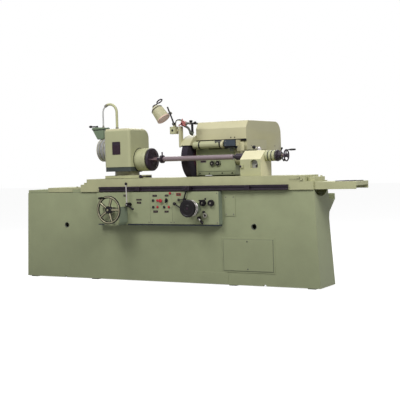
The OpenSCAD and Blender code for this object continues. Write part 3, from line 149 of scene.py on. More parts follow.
def join(tree, *pairs):
    """Links each pair of node and output with its node and input."""
    for giver, output, taker, place_in in pairs:
        tree.links.new(giver.outputs[output], taker.inputs[place_in])


def finish(name, rgb, rough=0.45, metal=0.0, vary=0.06, patch=4.0, grain=900.0, bump=0.08,
           stretch=(1, 1, 1), low_darkening=0.0, gloss=0.3):
    """A finish with patchy colour, a fine surface grain and, where asked, a colour that darkens towards the
    bottom.
    """
    name = "finish_" + name
    if name in bpy.data.materials:
        return bpy.data.materials[name]
    mat = bpy.data.materials.new(name)
    mat.use_nodes = True
    tree = mat.node_tree
    shader = tree.nodes["Principled BSDF"]
    shader.inputs["Metallic"].default_value = metal
    shader.inputs["Specular IOR Level"].default_value = gloss
    coords = add_node(tree, "TexCoord")
    mapping = add_node(tree, "Mapping", {"Scale": stretch})
    patches = add_node(tree, "TexNoise", {"Scale": patch, "Detail": 6.0, "Roughness": 0.6})
    ramp = add_node(tree, "ValToRGB")
    low, high = ramp.color_ramp.elements
    low.position, low.color = PATCH_LOW, linear(shifted(rgb, 1 - vary))
    high.position, high.color = PATCH_HIGH, linear(shifted(rgb, 1 + vary))
    fine = add_node(tree, "TexNoise", {"Scale": grain, "Detail": 3.0})
    dull = add_node(tree, "MapRange", {"To Min": max(0.03, rough - DULL_SPREAD),
                                       "To Max": min(1.0, rough + DULL_SPREAD)})
    relief = add_node(tree, "Bump", {"Strength": bump, "Distance": RELIEF_DEPTH})
    join(tree, (coords, "Object", mapping, "Vector"), (mapping, "Vector", patches, "Vector"),
         (patches, "Fac", ramp, "Fac"), (mapping, "Vector", fine, "Vector"), (patches, "Fac", dull, "Value"),
         (dull, "Result", shader, "Roughness"), (fine, "Fac", relief, "Height"),
         (relief, "Normal", shader, "Normal"))
    # Where asked, the colour darkens towards the bottom and fades out higher up
    if low_darkening:
        apart = add_node(tree, "SeparateXYZ")
        fade = add_node(tree, "MapRange", {"From Min": 0.0, "From Max": DARKEN_TOP,
                                           "To Min": low_darkening, "To Max": 0.0})
        mix = add_node(tree, "Mix", data_type="RGBA")
        mix.inputs["B"].default_value = linear(shifted(rgb, DARKEN_FACTOR))
        join(tree, (coords, "Object", apart, "Vector"), (apart, "Z", fade, "Value"),
             (fade, "Result", mix, "Factor"), (ramp, "Color", mix, "A"),
             (mix, "Result", shader, "Base Color"))
    else:
        join(tree, (ramp, "Color", shader, "Base Color"))
    return mat


def finishes():
    """Every finish of the machine, by a short name."""
    p = bpy.context.scene.grinder_paint
    rough = p.roughness
    return {
        "green": finish("sheet_enamel", p.green, rough, vary=0.025, patch=3, bump=0.05),
        "hood": finish("hood_enamel", p.hood, rough, vary=0.025, patch=3, bump=0.05),
        # A lighter copy of the hood enamel: painted light, mainly on faces that look to the front
        "front": finish("hood_enamel_painted_light", (0.76, 0.74, 0.6), rough, vary=0.025, patch=3, bump=0.05),
        # A paler copy of the table enamel: painted light on the tailstock's top and right-hand faces
        "pale": finish("tailstock_enamel_painted_light", (0.83, 0.81, 0.66), rough, vary=0.025, patch=3, bump=0.05),
        # Dark enamel standing for shade: painted shade under the headstock's cover and in the barrel's grooves
        "skirt": finish("dark_enamel_painted_shade", (0.25, 0.27, 0.26), 0.5, vary=0.08, patch=9, bump=0.1, gloss=0.2),
        "glass": finish("lamp_diffuser", (0.86, 0.74, 0.68), 0.4, vary=0.03, patch=20, bump=0.03),
        "casting": finish("casting_enamel", p.casting, rough + 0.1, vary=0.035, patch=4, grain=260,
                          bump=0.2, low_darkening=0.35),
        # A darker copy of the casting enamel: painted shade on the aprons' ends and undersides
        "side": finish("apron_side_painted_shade", (0.47, 0.51, 0.44), rough + 0.1, vary=0.04, patch=6, bump=0.1),
        "upper": finish("upper_casting_enamel", p.upper, rough + 0.06, vary=0.035, patch=6, grain=320,
                        bump=0.15),
        "shade": finish("grey_enamel", p.shade, 0.5, vary=0.08, patch=9, bump=0.1, gloss=0.25),
        "fins": finish("motor_enamel", (0.72, 0.72, 0.72), 0.5, vary=0.12, patch=14, bump=0.15, gloss=0.25),
        "box": finish("box_enamel", (0.44, 0.5, 0.41), 0.45, vary=0.06, patch=9, bump=0.1),
        "dark": finish("dark_enamel", p.dark, 0.4, vary=0.2, patch=11, bump=0.06, gloss=0.22),
        "black": finish("black_plastic", (0.05, 0.035, 0.05), 0.34, vary=0.2, patch=25, grain=1500,
                        bump=0.05, gloss=0.2),
        "rubber": finish("belt_rubber", (0.08, 0.08, 0.08), 0.75, vary=0.2, patch=30, bump=0.3, gloss=0.2),
        "red": finish("red_plastic", p.red, 0.3, vary=0.06, patch=30, bump=0.03, gloss=0.25),
        "rose": finish("tap_enamel", p.rose, 0.45, vary=0.1, patch=30, bump=0.15),
        "steel": finish("ground_steel", p.steel, 0.24, 0.4, vary=0.1, patch=30, grain=60,
                        bump=0.1, stretch=(30, 1, 1)),
        "blue": finish("cover_blue", (0.2, 0.235, 0.27), 0.4, vary=0.1, patch=12, bump=0.06),
        "bar": finish("ground_bar", (0.5, 0.44, 0.46), 0.3, 0.0, vary=0.06, patch=30, grain=60,
                      bump=0.05, stretch=(30, 1, 1), gloss=0.35),
        "slide": finish("scraped_steel", (0.5, 0.49, 0.47), 0.36, 0.6, vary=0.12, patch=60, bump=0.1),
        "chrome": finish("polished_chrome", (0.72, 0.7, 0.69), 0.2, 0.7, vary=0.05, patch=40, bump=0.02),
        "rim": finish("handwheel_rim", (0.6, 0.58, 0.47), 0.3, 0.25, vary=0.05, patch=30, bump=0.03),
        "alloy": finish("cast_alloy", (0.5, 0.49, 0.45), 0.5, 0.4, vary=0.1, patch=20, bump=0.3),
        "grit": finish("wheel_grit", p.grit, 0.95, vary=0.3, patch=420, grain=1300, bump=0.5, gloss=0.1),
        "blotter": finish("wheel_blotter", (0.27, 0.17, 0.21), 0.9, vary=0.2, patch=40, bump=0.2, gloss=0.1),
        "plate": finish("etched_plate", (0.17, 0.11, 0.15), 0.42, vary=0.2, patch=60, bump=0.03, gloss=0.2),
        "label": finish("label_enamel", (0.45, 0.43, 0.36), 0.5, vary=0.1, patch=90, bump=0.03, gloss=0.2),
        "cream": finish("lamp_enamel", (0.71, 0.69, 0.57), 0.45, vary=0.05, patch=14, bump=0.05),
        "bulb": finish("lamp_reflector", (0.9, 0.88, 0.82), 0.25, 0.1, vary=0.02, patch=9, bump=0.02),
    }


# ---------------------------------------------------------------- shapes


def turned(axis):
    """Turns +Z onto an axis."""
    return Vector(axis).to_track_quat("Z", "Y").to_matrix().to_4x4()


def mark(bm, before, mat):
    """Gives the faces made since before a material's number."""
    for f in bm.faces:
        if f not in before:
            f.material_index = mat


def block(bm, x, y, z, mat=0):
    before = set(bm.faces)
    lo, hi = Vector((x[0], y[0], z[0])), Vector((x[1], y[1], z[1]))
    bmesh.ops.create_cube(
        bm, size=1, matrix=Matrix.Translation((lo + hi) / 2) @ Matrix.Diagonal([*(hi - lo), 1])
    )
    mark(bm, before, mat)


def rod(bm, a, b, r, r2=None, mat=0, seg=32):
    before = set(bm.faces)
    a, b = Vector(a), Vector(b)
    bmesh.ops.create_cone(
        bm, cap_ends=True, segments=seg, radius1=r, radius2=r if r2 is None else r2,
        depth=(b - a).length, matrix=Matrix.Translation((a + b) / 2) @ turned(b - a),
    )
    mark(bm, before, mat)


def ball(bm, c, r, mat=0, squash=(1, 1, 1), seg=24):
    before = set(bm.faces)
    bmesh.ops.create_uvsphere(
        bm, u_segments=seg, v_segments=seg // 2, radius=r,
        matrix=Matrix.Translation(c) @ Matrix.Diagonal([*squash, 1]),
    )
    mark(bm, before, mat)


def lathe(bm, centre, axis, profile, mat=0, seg=48):
    """Spins a profile of radius and height pairs about an axis through centre."""
    before = set(bm.faces)
    place = Matrix.Translation(centre) @ turned(axis)
    verts = [bm.verts.new(place @ Vector((r, 0, h))) for r, h in profile]
    edges = [bm.edges.new(pair) for pair in zip(verts, verts[1:])]
    bmesh.ops.spin(
        bm, geom=verts + edges, cent=centre, axis=Vector(axis).normalized(), angle=2 * pi,
        steps=seg, use_merge=True,
    )
    mark(bm, before, mat)


def hoop(bm, centre, axis, ring, r, mat=0, seg=48, sides=12):
    """A round ring of round wire."""
    lathe(bm, centre, axis, [
        (ring + r * cos(2 * pi * i / sides), r * sin(2 * pi * i / sides)) for i in range(sides + 1)
    ], mat, seg)


def knurl(bm, centre, across, up, count, ring, start, end, r, mat=0, seg=8):
    """A ring of small bars: each goes from start to end, both measured from its place in the ring."""
    for i in range(count):
        a = 2 * pi * i / count
        at = Vector(centre) + across * ring * cos(a) + up * ring * sin(a)
        rod(bm, at + start, at + end, r, mat=mat, seg=seg)


def prism(bm, outline, axis, lo, hi, mat=0):
    """A flat outline in the plane square to axis, drawn out from lo to hi."""
    before = set(bm.faces)
    spread = {
        "x": lambda a, b, t: (t, a, b), "y": lambda a, b, t: (a, t, b), "z": lambda a, b, t: (a, b, t)
    }[axis]
    face = bm.faces.new([bm.verts.new(spread(a, b, lo)) for a, b in outline])
    made = bmesh.ops.extrude_face_region(bm, geom=[face])["geom"]
    step = Vector(spread(0, 0, hi - lo))
    bmesh.ops.translate(bm, vec=step, verts=[g for g in made if isinstance(g, bmesh.types.BMVert)])
    mark(bm, before, mat)


def tube(bm, path, r, mat=0, seg=16, ribs=0.0):
    """A round tube along a path of points; ribs makes every second ring that much wider."""
    before = set(bm.faces)
    points = [Vector(p) for p in path]
    rings = []
    normal = None
    for i, p in enumerate(points):
        ahead = (points[min(i + 1, len(points) - 1)] - points[max(i - 1, 0)]).normalized()
        if normal is None:
            normal = ahead.orthogonal().normalized()
        normal = (normal - ahead * normal.dot(ahead)).normalized()
        side = ahead.cross(normal)
        wide = r + (ribs if i % 2 else 0)
        made = bmesh.ops.create_circle(bm, segments=seg, radius=wide, matrix=Matrix.Translation(p) @
                                       Matrix((normal, side, ahead)).transposed().to_4x4())["verts"]
        rings.append([e for v in made for e in v.link_edges])
        rings[-1] = list(dict.fromkeys(rings[-1]))
    for a, b in zip(rings, rings[1:]):
        bmesh.ops.bridge_loops(bm, edges=a + b)
    for ends in (rings[0], rings[-1]):
        bmesh.ops.edgeloop_fill(bm, edges=ends)
    mark(bm, before, mat)


def arc(centre, r, start, end, steps, plane="xz"):
    """Points round part of a circle, in degrees."""
    points = []
    for i in range(steps + 1):
        a = radians(start + (end - start) * i / steps)
        u, v = r * cos(a), r * sin(a)
        c = Vector(centre)
        points.append(c + (Vector((u, 0, v)) if plane == "xz" else Vector((0, u, v)) if plane == "yz"
                           else Vector((u, v, 0))))
    return points


def smooth_path(points, each=6):
    """A soft curve through a few points."""
    p = [Vector(q) for q in points]
    p = [p[0] * 2 - p[1], *p, p[-1] * 2 - p[-2]]
    out = []
    for a, b, c, d in zip(p, p[1:], p[2:], p[3:]):
        for i in range(each):
            t = i / each
            out.append(0.5 * ((2 * b) + (c - a) * t + (2 * a - 5 * b + 4 * c - d) * t ** 2
                              + (3 * b - a - 3 * c + d) * t ** 3))
    return out + [p[-2]]


def socket_screw(bm, at, axis, r, mat=0, dark=1):
    """A cap screw with a hexagon socket."""
    axis = Vector(axis).normalized()
    at = Vector(at)
    lathe(bm, at, axis, [(0, 0), (r, 0), (r, r * 0.7), (r * 0.86, r * 0.85), (r * 0.5, r * 0.85)], mat, 24)
    rod(bm, at + axis * r * 0.3, at + axis * r * 0.84, r * 0.5, mat=dark, seg=6)


def slot_screw(bm, at, axis, r, mat=0, dark=1, turn=0.6):
    """A domed screw with a driver's slot."""
    axis = Vector(axis).normalized()
    at = Vector(at)
    lathe(bm, at, axis, [(0, 0), (r, 0), (r, r * 0.3), (r * 0.7, r * 0.55), (0, r * 0.62)], mat, 20)
    before = set(bm.faces)
    bmesh.ops.create_cube(bm, size=1, matrix=Matrix.Translation(at + axis * r * 0.56) @ turned(axis) @
                          Matrix.Rotation(turn, 4, "Z") @ Matrix.Diagonal([r * 1.5, r * 0.22, r * 0.2, 1]))
    mark(bm, before, dark)


def place(name, body, bm, paints, slot, nodes=(), edge=0.0, angle=32, tidy=True, wall=0.0):
    """Finishes a mesh and puts it on its body in the frame, in place of its CAD nodes.

    paints lists the short names of its finishes, wall and edge are in metres, and a mesh
    that is drawn in the bed's millimetres is tidied first.
    """
    if tidy:
        bmesh.ops.remove_doubles(bm, verts=bm.verts, dist=MERGE)
        bmesh.ops.recalc_face_normals(bm, faces=bm.faces)
        bmesh.ops.transform(bm, matrix=TO_FRAME, verts=bm.verts)
    mesh = bpy.data.meshes.new(name)
    bm.to_mesh(mesh)
    bm.free()
    known = finishes()
    for paint in paints.split():
        mesh.materials.append(known[paint])
    mesh.shade_smooth()
    mesh.set_sharp_from_angle(angle=radians(angle))
    obj = bpy.data.objects.new(name, mesh)
    bpy.context.scene.collection.objects.link(obj)
    if wall:
        skin = obj.modifiers.new("Wall", "SOLIDIFY")
        skin.thickness = wall
        skin.offset = -1
    if edge:
        bevel = obj.modifiers.new("Edges", "BEVEL")
        bevel.width = edge
        bevel.segments = 2
        bevel.limit_method = "ANGLE"
        bevel.angle_limit = radians(angle)
        bevel.harden_normals = True
        bevel.use_clamp_overlap = True
    even = obj.modifiers.new("Normals", "WEIGHTED_NORMAL")
    even.keep_sharp = True
    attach(obj, body)
    if nodes:
        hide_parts(*nodes)
    return obj


def remade(node, body, bm, paints, slot, edge=0.0, angle=32, wall=0.0):
    """A mesh that takes one CAD node's place."""
    return place(node + "_finished", body, bm, paints, slot, [node], edge, angle, wall=wall)


def dressed(node, body, paint, slot, edge, angle=32):
    """A copy of a CAD node's shape, merged, with its edges softened."""
    bm = bmesh.new()
    bm.from_mesh(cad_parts[node].data)
    bmesh.ops.remove_doubles(bm, verts=bm.verts, dist=1e-6)
    bmesh.ops.dissolve_limit(bm, angle_limit=radians(0.4), verts=bm.verts, edges=bm.edges)
    for f in bm.faces:
        f.material_index = 0
    return place(node + "_finished", body, bm, paint, slot, [node], edge, angle, tidy=False)


def sharp_edges(bm, angle=25, pick=lambda e: True):
    """Edges between two faces that turn by more than an angle."""
    return [e for e in bm.edges
            if len(e.link_faces) == 2 and e.calc_face_angle(0) > radians(angle) and pick(e)]


def soften(bm, edges, r, seg=4):
    bmesh.ops.bevel(bm, geom=edges, offset=r, segments=seg, affect="EDGES", profile=0.5, material=-1)


class Piece:
    """Builds its pieces when its operator is called."""

    def execute(self, context):
        self.build(context.scene)
        return {"FINISHED"}


# ---------------------------------------------------------------- stage


class GRINDER_OT_stage(Piece, Operator):
    """Floor, lamps, world and camera"""

    bl_idname = "grinder.stage"
    bl_label = "Stage"

    def build(self, scene):
        scene.view_settings.view_transform = "Standard"
        self.camera(scene)
        self.floor(scene)
        self.world(scene)
        for name, at, to, size, watts in (
            ("key", (-0.9, -3.3, 4.7), (0.2, -0.1, 0.9), 2.2, 165),
            ("side", (4.3, -2.3, 4.0), (0.4, 0.1, 0.8), 2.4, 175),
            ("back", (-1.5, 3.5, 4.2), (0.0, 0.3, 0.9), 3.0, 110),
        ):
            light = bpy.data.lights.new(name, "AREA")
            light.size, light.energy = size, watts
            lamp = bpy.data.objects.new(name, light)
            lamp.location = at
            lamp.rotation_euler = (Vector(to) - Vector(at)).to_track_quat("-Z", "Y").to_euler()
            scene.collection.objects.link(lamp)

    def camera(self, scene):
        data = bpy.data.cameras.new("photo_view")
        data.lens, data.sensor_width = 83.19, 36.0
        data.clip_end = 200
        cam = bpy.data.objects.new("photo_view", data)
        yaw, pitch, roll = radians(30.327), radians(-2.286), radians(-1.632)
        ahead = Vector((-sin(yaw) * cos(pitch), cos(yaw) * cos(pitch), sin(pitch)))
        right = Vector((cos(yaw), sin(yaw), 0))
        up = right.cross(ahead)
        turn = Matrix((right * cos(roll) + up * sin(roll), up * cos(roll) - right * sin(roll), -ahead))
        cam.matrix_world = Matrix.Translation((4.414, -6.969, 1.0405)) @ turn.transposed().to_4x4()
        scene.collection.objects.link(cam)
        scene.camera = cam

    def floor(self, scene):
        size = scene.grinder_detail.floor_size
        bm = bmesh.new()
        bmesh.ops.create_grid(bm, x_segments=2, y_segments=2, size=size / 2)
        mesh = bpy.data.meshes.new("studio_floor")
        bm.to_mesh(mesh)
        bm.free()
        mat = bpy.data.materials.new("studio_floor")
        mat.use_nodes = True
        tree = mat.node_tree
        tree.nodes.clear()
        # Seen by the camera: a bright floor that shows its shadows; for light, a dimmer plain one
        shadow = add_node(tree, "BsdfDiffuse", {"Color": (0.42, 0.42, 0.42, 1)})
        glow = add_node(tree, "Emission", {"Strength": 0.86})
        both = add_node(tree, "AddShader")
        plain = add_node(tree, "BsdfDiffuse", {"Color": (0.3, 0.3, 0.3, 1)})
        path = add_node(tree, "LightPath")
        pick = add_node(tree, "MixShader")
        out = add_node(tree, "OutputMaterial")
        seen = add_node(tree, "Math", operation="MAXIMUM")
        join(tree, (path, "Is Camera Ray", seen, 0), (path, "Is Glossy Ray", seen, 1),
             (seen, "Value", pick, "Fac"), (shadow, "BSDF", both, 0), (glow, "Emission", both, 1),
             (plain, "BSDF", pick, 1), (both, "Shader", pick, 2), (pick, "Shader", out, "Surface"))
        mesh.materials.append(mat)
        floor = bpy.data.objects.new("studio_floor", mesh)
        scene.collection.objects.link(floor)

    def world(self, scene):
        world = bpy.data.worlds.new("studio")
        world.use_nodes = True
        scene.world = world
        tree = world.node_tree
        tree.nodes.clear()
        # White where it is seen, dimmer as a light
        path = add_node(tree, "LightPath")
        seen = add_node(tree, "Math", operation="MAXIMUM")
        more = add_node(tree, "Math", operation="MAXIMUM")
        level = add_node(tree, "MapRange", {"To Min": 0.24, "To Max": 1.0})
        back = add_node(tree, "Background", {"Color": (1, 1, 1, 1)})
        out = add_node(tree, "OutputWorld")
        join(tree, (path, "Is Camera Ray", seen, 0), (path, "Is Glossy Ray", seen, 1),
             (seen, "Value", more, 0), (path, "Is Transmission Ray", more, 1), (more, "Value", level, "Value"),
             (level, "Result", back, "Strength"), (back, "Background", out, "Surface"))


# ---------------------------------------------------------------- bed


class GRINDER_OT_bed(Piece, Operator):
    """Bed casting with its covers, parting lines, plugs and levelling shoes"""

    bl_idname = "grinder.bed"
    bl_label = "Bed"

    def build(self, scene):
        detail = scene.grinder_detail
        dressed("bed_casting", "machine_base", "casting", "green_paint", detail.casting_edge)
        dressed("bed_covers", "machine_base", "casting", "green_paint", 0.0012)
        dressed("levelling_feet", "machine_base", "shade", "cast_paint", 0.002)
        dressed("table_cylinder", "machine_base", "steel", "ground_steel", 0.002)
        bm = bmesh.new()
        # Parting line under the ways, and those of the lower cover
        block(bm, (-1470, 1396), (7.0, 8.6), (797.5, 803), 1)
        for x0, x1, z0, z1 in ((642, 1109, 127, 130), (642, 1109, 392, 394), (642, 645, 127, 394),
                               (1106, 1109, 127, 394)):
            block(bm, (x0, x1), (-4.2, -2), (z0, z1), 1)
        place("bed_trim", "machine_base", bm, "casting shade", "green_paint")
        bm = bmesh.new()
        for x, z in ((-1023, 500), (936, 500)):
            lathe(bm, (x, -0.4, z), -Y, [(22, -24), (21, -1), (22.5, 0.6), (25.5, 0.6), (26, -1)], 0, 40)
        for x, z in ((871, 376), (873, 146)):
            slot_screw(bm, (x, -8, z), -Y, 6)
        for x in (679, 750):
            for z in (605, 749):
                slot_screw(bm, (x, -4, z), -Y, 5)
        place("bed_screws", "machine_base", bm, "shade dark", "dark_paint")


class GRINDER_OT_aprons(Piece, Operator):
    """Sheet aprons on the bed's front, with their boss, seams and screws"""

    bl_idname = "grinder.aprons"
    bl_label = "Aprons"

    def build(self, scene):
        apron = dressed("apron_covers", "machine_base", "casting", "green_paint", 0.002)
        apron.data.materials.append(finishes()["side"])
        # Ends and undersides of the aprons take the darker copy: painted shade
        for face in apron.data.polygons:
            if abs(face.normal.x) > 0.7 or face.normal.z < -0.5:
                face.material_index = 1
        bm = bmesh.new()
        for x, z in ((624, 536), (624, 784), (196, 536), (196, 784), (164, 536), (-31, 536), (-63, 536)):
            slot_screw(bm, (x, FACE, z), -Y, 5.5, turn=x * 0.01)
        for x, z, y in ((871, 376, -8), (873, 146, -8), (679, 749, -4), (750, 749, -4), (679, 605, -4),
                        (750, 605, -4)):
            slot_screw(bm, (x, y, z), -Y, 5.5, turn=x * 0.02)
        # Dark bluish strip under the aprons' lower edge: painted shadow on the bed
        block(bm, (-617, 637), (-54, -2), (507, 515.8), 2)
        place("apron_screws_and_painted_shadow", "machine_base", bm, "alloy dark blue", "dark_paint", ["cover_screws"])


class GRINDER_OT_switches(Piece, Operator):
    """Collars, lamps and bare plates of the switch panel, and its buttons"""

    bl_idname = "grinder.switches"
    bl_label = "Switches"

    def build(self, scene):
        bm = bmesh.new()
        for x, z, w, h in ((-313, 771, 28, 18), (-163, 733, 56, 14), (-163, 707, 46, 18), (4, 767, 46, 17),
                           (127, 768, 38, 17), (9, 629, 48, 19), (122, 629, 40, 17), (248, 777, 46, 24)):
            red = x == 248
            block(bm, (x - w / 2, x + w / 2), (FACE - 1.5, FACE), (z - h / 2, z + h / 2), 3 if red else 0)
            block(bm, (x - w / 2 + 3, x + w / 2 - 3), (FACE - 1.9, FACE - 1),
                  (z - h / 2 + 3, z + h / 2 - 3), 0)
            block(bm, (x - w / 4, x + w / 4), (FACE - 2.1, FACE - 1), (z - h / 12, z + h / 12), 1)
        for x, z in ((-13, 726), (-13, 668), (100, 668), (69, 723)):
            lathe(bm, (x, FACE, z), -Y, [(9.4, 0), (9.4, 5), (11, 5.6), (12.6, 4.6), (13, 0)], 2, 32)
        place("panel_plates", "machine_base", bm, "plate label shade red",
              "dark_paint", ["panel_trim"])
        bm = bmesh.new()
        for x, z in ((31, 725), (31, 668), (146, 668), (162, 787)):
            lathe(bm, (x, FACE, z), -Y, [(12.5, 0), (12.5, 2), (11, 3)], 1, 32)
            lathe(bm, (x, FACE, z), -Y, [(11, 0), (11, 3), (10.4, 5.4), (7.5, 7), (0, 7.6)], 0, 32)
        place("panel_lamps", "machine_base", bm, "red shade", "red_plastic")
        for name, body, (x, z) in (("start_button_a", "button_a", (-13, 726)),
                                   ("start_button_b", "button_b", (-13, 668)),
                                   ("start_button_c", "button_c", (100, 668))):
            bm = bmesh.new()
            lathe(bm, (x, FACE, z), -Y, [(8.9, -12), (8.9, 7.6), (8, 9), (6, 8.4), (0, 8)], 0, 32)
            remade(name, body, bm, "black", "dark_plastic")
        bm = bmesh.new()
        lathe(bm, (69, FACE, 723), -Y, [(8.9, -12), (8.9, 12), (14, 12.4), (17, 15), (17, 17.5), (14.5, 20),
                                        (8, 21.4), (0, 21.8)], 0, 40)
        remade("stop_button", "stop", bm, "red", "red_plastic")
        bm = bmesh.new()
        lathe(bm, (125, FACE, 725), -Y, [
            (8.9, -12), (8.9, 0.5), (15, 0.5), (15, 8), (13.5, 9.6), (0, 9.8),
        ], 0, 40)
        before = set(bm.faces)
        turn = Matrix.Translation((125, 0, 725)) @ Matrix.Rotation(radians(12), 4, "Y")
        bmesh.ops.create_cube(bm, size=1, matrix=turn @ Matrix.Translation((0, FACE - 13, 0)) @
                              Matrix.Diagonal([11, 9, 41, 1]))
        bmesh.ops.create_cube(bm, size=1, matrix=turn @ Matrix.Translation((0, FACE - 17.4, 12)) @
                              Matrix.Diagonal([2.4, 1.4, 14, 1]))
        mark(bm, before, 0)
        remade("selector_switch", "selector", bm, "black", "dark_plastic", 0.0015)


# ---------------------------------------------------------------- table


class GRINDER_OT_table(Piece, Operator):
    """Lower and swivelling tables, way guards, rail, dogs, drive and end bolts"""

    bl_idname = "grinder.table"
    bl_label = "Table"

    def build(self, scene):
        dressed("lower_table", "table", "upper", "green_paint", 0.0025)
        dressed("upper_table", "swivel_table", "upper", "green_paint", 0.0025)
        dressed("way_guards", "table", "upper", "green_paint", 0.0012)
        dressed("table_drive", "table", "steel", "ground_steel", 0.0)
        dressed("dog_rail", "table", "dark", "dark_paint", 0.0015)
        dressed("end_clamps", "table", "upper", "green_paint", 0.002)
        for name, body, x in (("trip_dog_left", "left_dog", -190), ("trip_dog_right", "right_dog", 900)):
            bm = bmesh.new()
            block(bm, (x - 23, x + 23), (-48, -34.1), (807, 848))
            soften(bm, sharp_edges(bm), 2.5)
            block(bm, (x - 22, x + 22), (-35, -26), (820.2, 831.8))
            socket_screw(bm, (x, -48, 838), -Y, 5)
            rod(bm, (x - 16, -52, 816), (x - 16, -44, 816), 5, 4.5, 0)
            remade(name, body, bm, "dark black", "ground_steel")
        bm = bmesh.new()
        # Screws of the rail, bolts of both ends and three rods on the right guard
        for x in (-560, -340, -120, 100, 320, 540, 760, 1200):
            socket_screw(bm, (x, -34, 841), -Y, 4)
        for y in (39, 140, 241):
            socket_screw(bm, (1445, y, 904), Z, 9)
            socket_screw(bm, (-917, y, 846), Z, 9)
        for x in (1640, 1700, 1760):
            rod(bm, (x, 60, 866.5), (x + 60, 200, 866.5), 4, mat=0, seg=12)
        place("table_screws", "table", bm, "dark black", "dark_paint")
        bm = bmesh.new()
        for x, z in ((1352, 902.1), (1378, 886.1)):
            lathe(bm, (x, -10.5, z), -Y, [(11, -4), (11, 0.4), (12.5, 0.4), (12.5, -1)], 0, 32)
            socket_screw(bm, (x, -10.5, z), -Y, 9)
        # Swivel scale on the right end of the upper table
        block(bm, (1268, 1338), (-11.2, -10), (880, 912), 2)
        for i in range(15):
            x = 1272 + i * 4.4
            block(bm, (x, x + 0.8), (-11.6, -11), (882, 892 if i % 5 else 898), 1)
        place("upper_table_screws", "swivel_table", bm, "dark black upper", "dark_paint")


# ---------------------------------------------------------------- headstock


class GRINDER_OT_headstock(Piece, Operator):
    """Headstock base, body, cover, nameplate and clamp"""

    bl_idname = "grinder.headstock"
    bl_label = "Headstock"

    def build(self, scene):
        base = dressed("headstock_base", "headstock", "upper", "cast_paint", 0.002)
        base.data.materials.append(finishes()["cream"])
        for face in base.data.polygons:
            if face.center.z > 0.9486:
                face.material_index = 1
        bm = bmesh.new()
        # Dark joint at the base's foot and under its swivel ring
        block(bm, (-580.5, -164.6), (19.4, 22), (920.2, 923.4), 0)
        lathe(bm, (-430, 160, 948.1), Z, [(112.5, 0), (118, 0), (118, 1.2), (112.5, 1.2)], 0, 72)
        place("headstock_joint", "headstock", bm, "black", "dark_paint")
        self.body()
        self.cover()
        bm = bmesh.new()
        lathe(bm, (-188, 12.7, 936.1), Y, [(0, -7), (12, -7), (14, -5), (14, 5), (12, 7), (0, 7)], 0, 32)
        tube(bm, [(-188, 12.7, 936.1), (-150, 12.7, 936.6), (-129, 12.7, 936.1)], 5, 0)
        lathe(bm, (-130, 12.7, 936.1), X, [(0, 0), (5, 0), (7.5, 8), (7.5, 50), (6, 58), (0, 59)], 1, 24)
        remade("headstock_clamp", "head_clamp", bm, "dark black", "dark_paint")

    def body(self):
        bm = bmesh.new()
        # Dark band under the cover: painted shade of its curved-under foot
        block(bm, (-567, -288), (3, 327), (985.1, 1025.1), 1)
        soften(bm, sharp_edges(bm, pick=lambda e: abs((e.verts[0].co - e.verts[1].co).z) > 1), 24, 6)
        block(bm, (-540, -315), (30, 300), (1024, 1275), 0)
        lathe(bm, WORK_AXIS, X, [
            (20, -560), (20, -316), (96, -316), (101, -306), (103, -290), (103, -222), (101, -219),
            (101, -215), (103, -212), (103, -182), (100, -176), (95, -175), (20, -175),
        ], 0, 96)
        lathe(bm, WORK_AXIS, X, [(0, -320), (19.9, -320), (19.9, -91), (6, -72.5), (0, -60.5)], 2, 48)
        place("headstock_body_finished", "headstock", bm, "green skirt steel",
              "cast_paint", ["headstock_body"])

    def cover(self):
        bm = bmesh.new()
        block(bm, (-570, -285), (0, 330), (1025.1, 1372.1))
        bmesh.ops.delete(bm, geom=[f for f in bm.faces if f.normal.z < -0.9], context="FACES_ONLY")
        rear = [e for e in bm.edges if all(v.co.y > 329 and v.co.z > 1372 for v in e.verts)]
        soften(bm, rear, 90, 16)
        soften(bm, sharp_edges(bm), 29, 8)
        # A paler top, painted light, and a dark gap round the spindle nose
        bm.normal_update()
        for f in bm.faces:
            if f.normal.z > 0.35:
                f.material_index = 2
        bmesh.ops.remove_doubles(bm, verts=bm.verts, dist=0.01)
        lathe(bm, (-285, 160, 1085.1), X, [(103.2, -1), (109.5, -1), (109.5, 0.8), (103.2, 1.2)], 1, 96)
        remade("headstock_cover", "headstock", bm, "green black hood", "green_paint", angle=40)
        bm = bmesh.new()
        block(bm, (-476, -388), (-2.2, 0.5), (1137, 1253), 0)
        soften(bm, sharp_edges(bm), 1, 2)
        block(bm, (-471, -393), (-2.7, -2), (1222, 1248), 1)
        block(bm, (-471, -393), (-2.7, -2), (1142, 1217), 2)
        for x in (-472.5, -391.5):
            for z in (1140.5, 1249.5):
                slot_screw(bm, (x, -2.2, z), -Y, 2.6, 3, 0)
        place("headstock_plate", "headstock", bm, "plate dark plate alloy", "dark_paint")


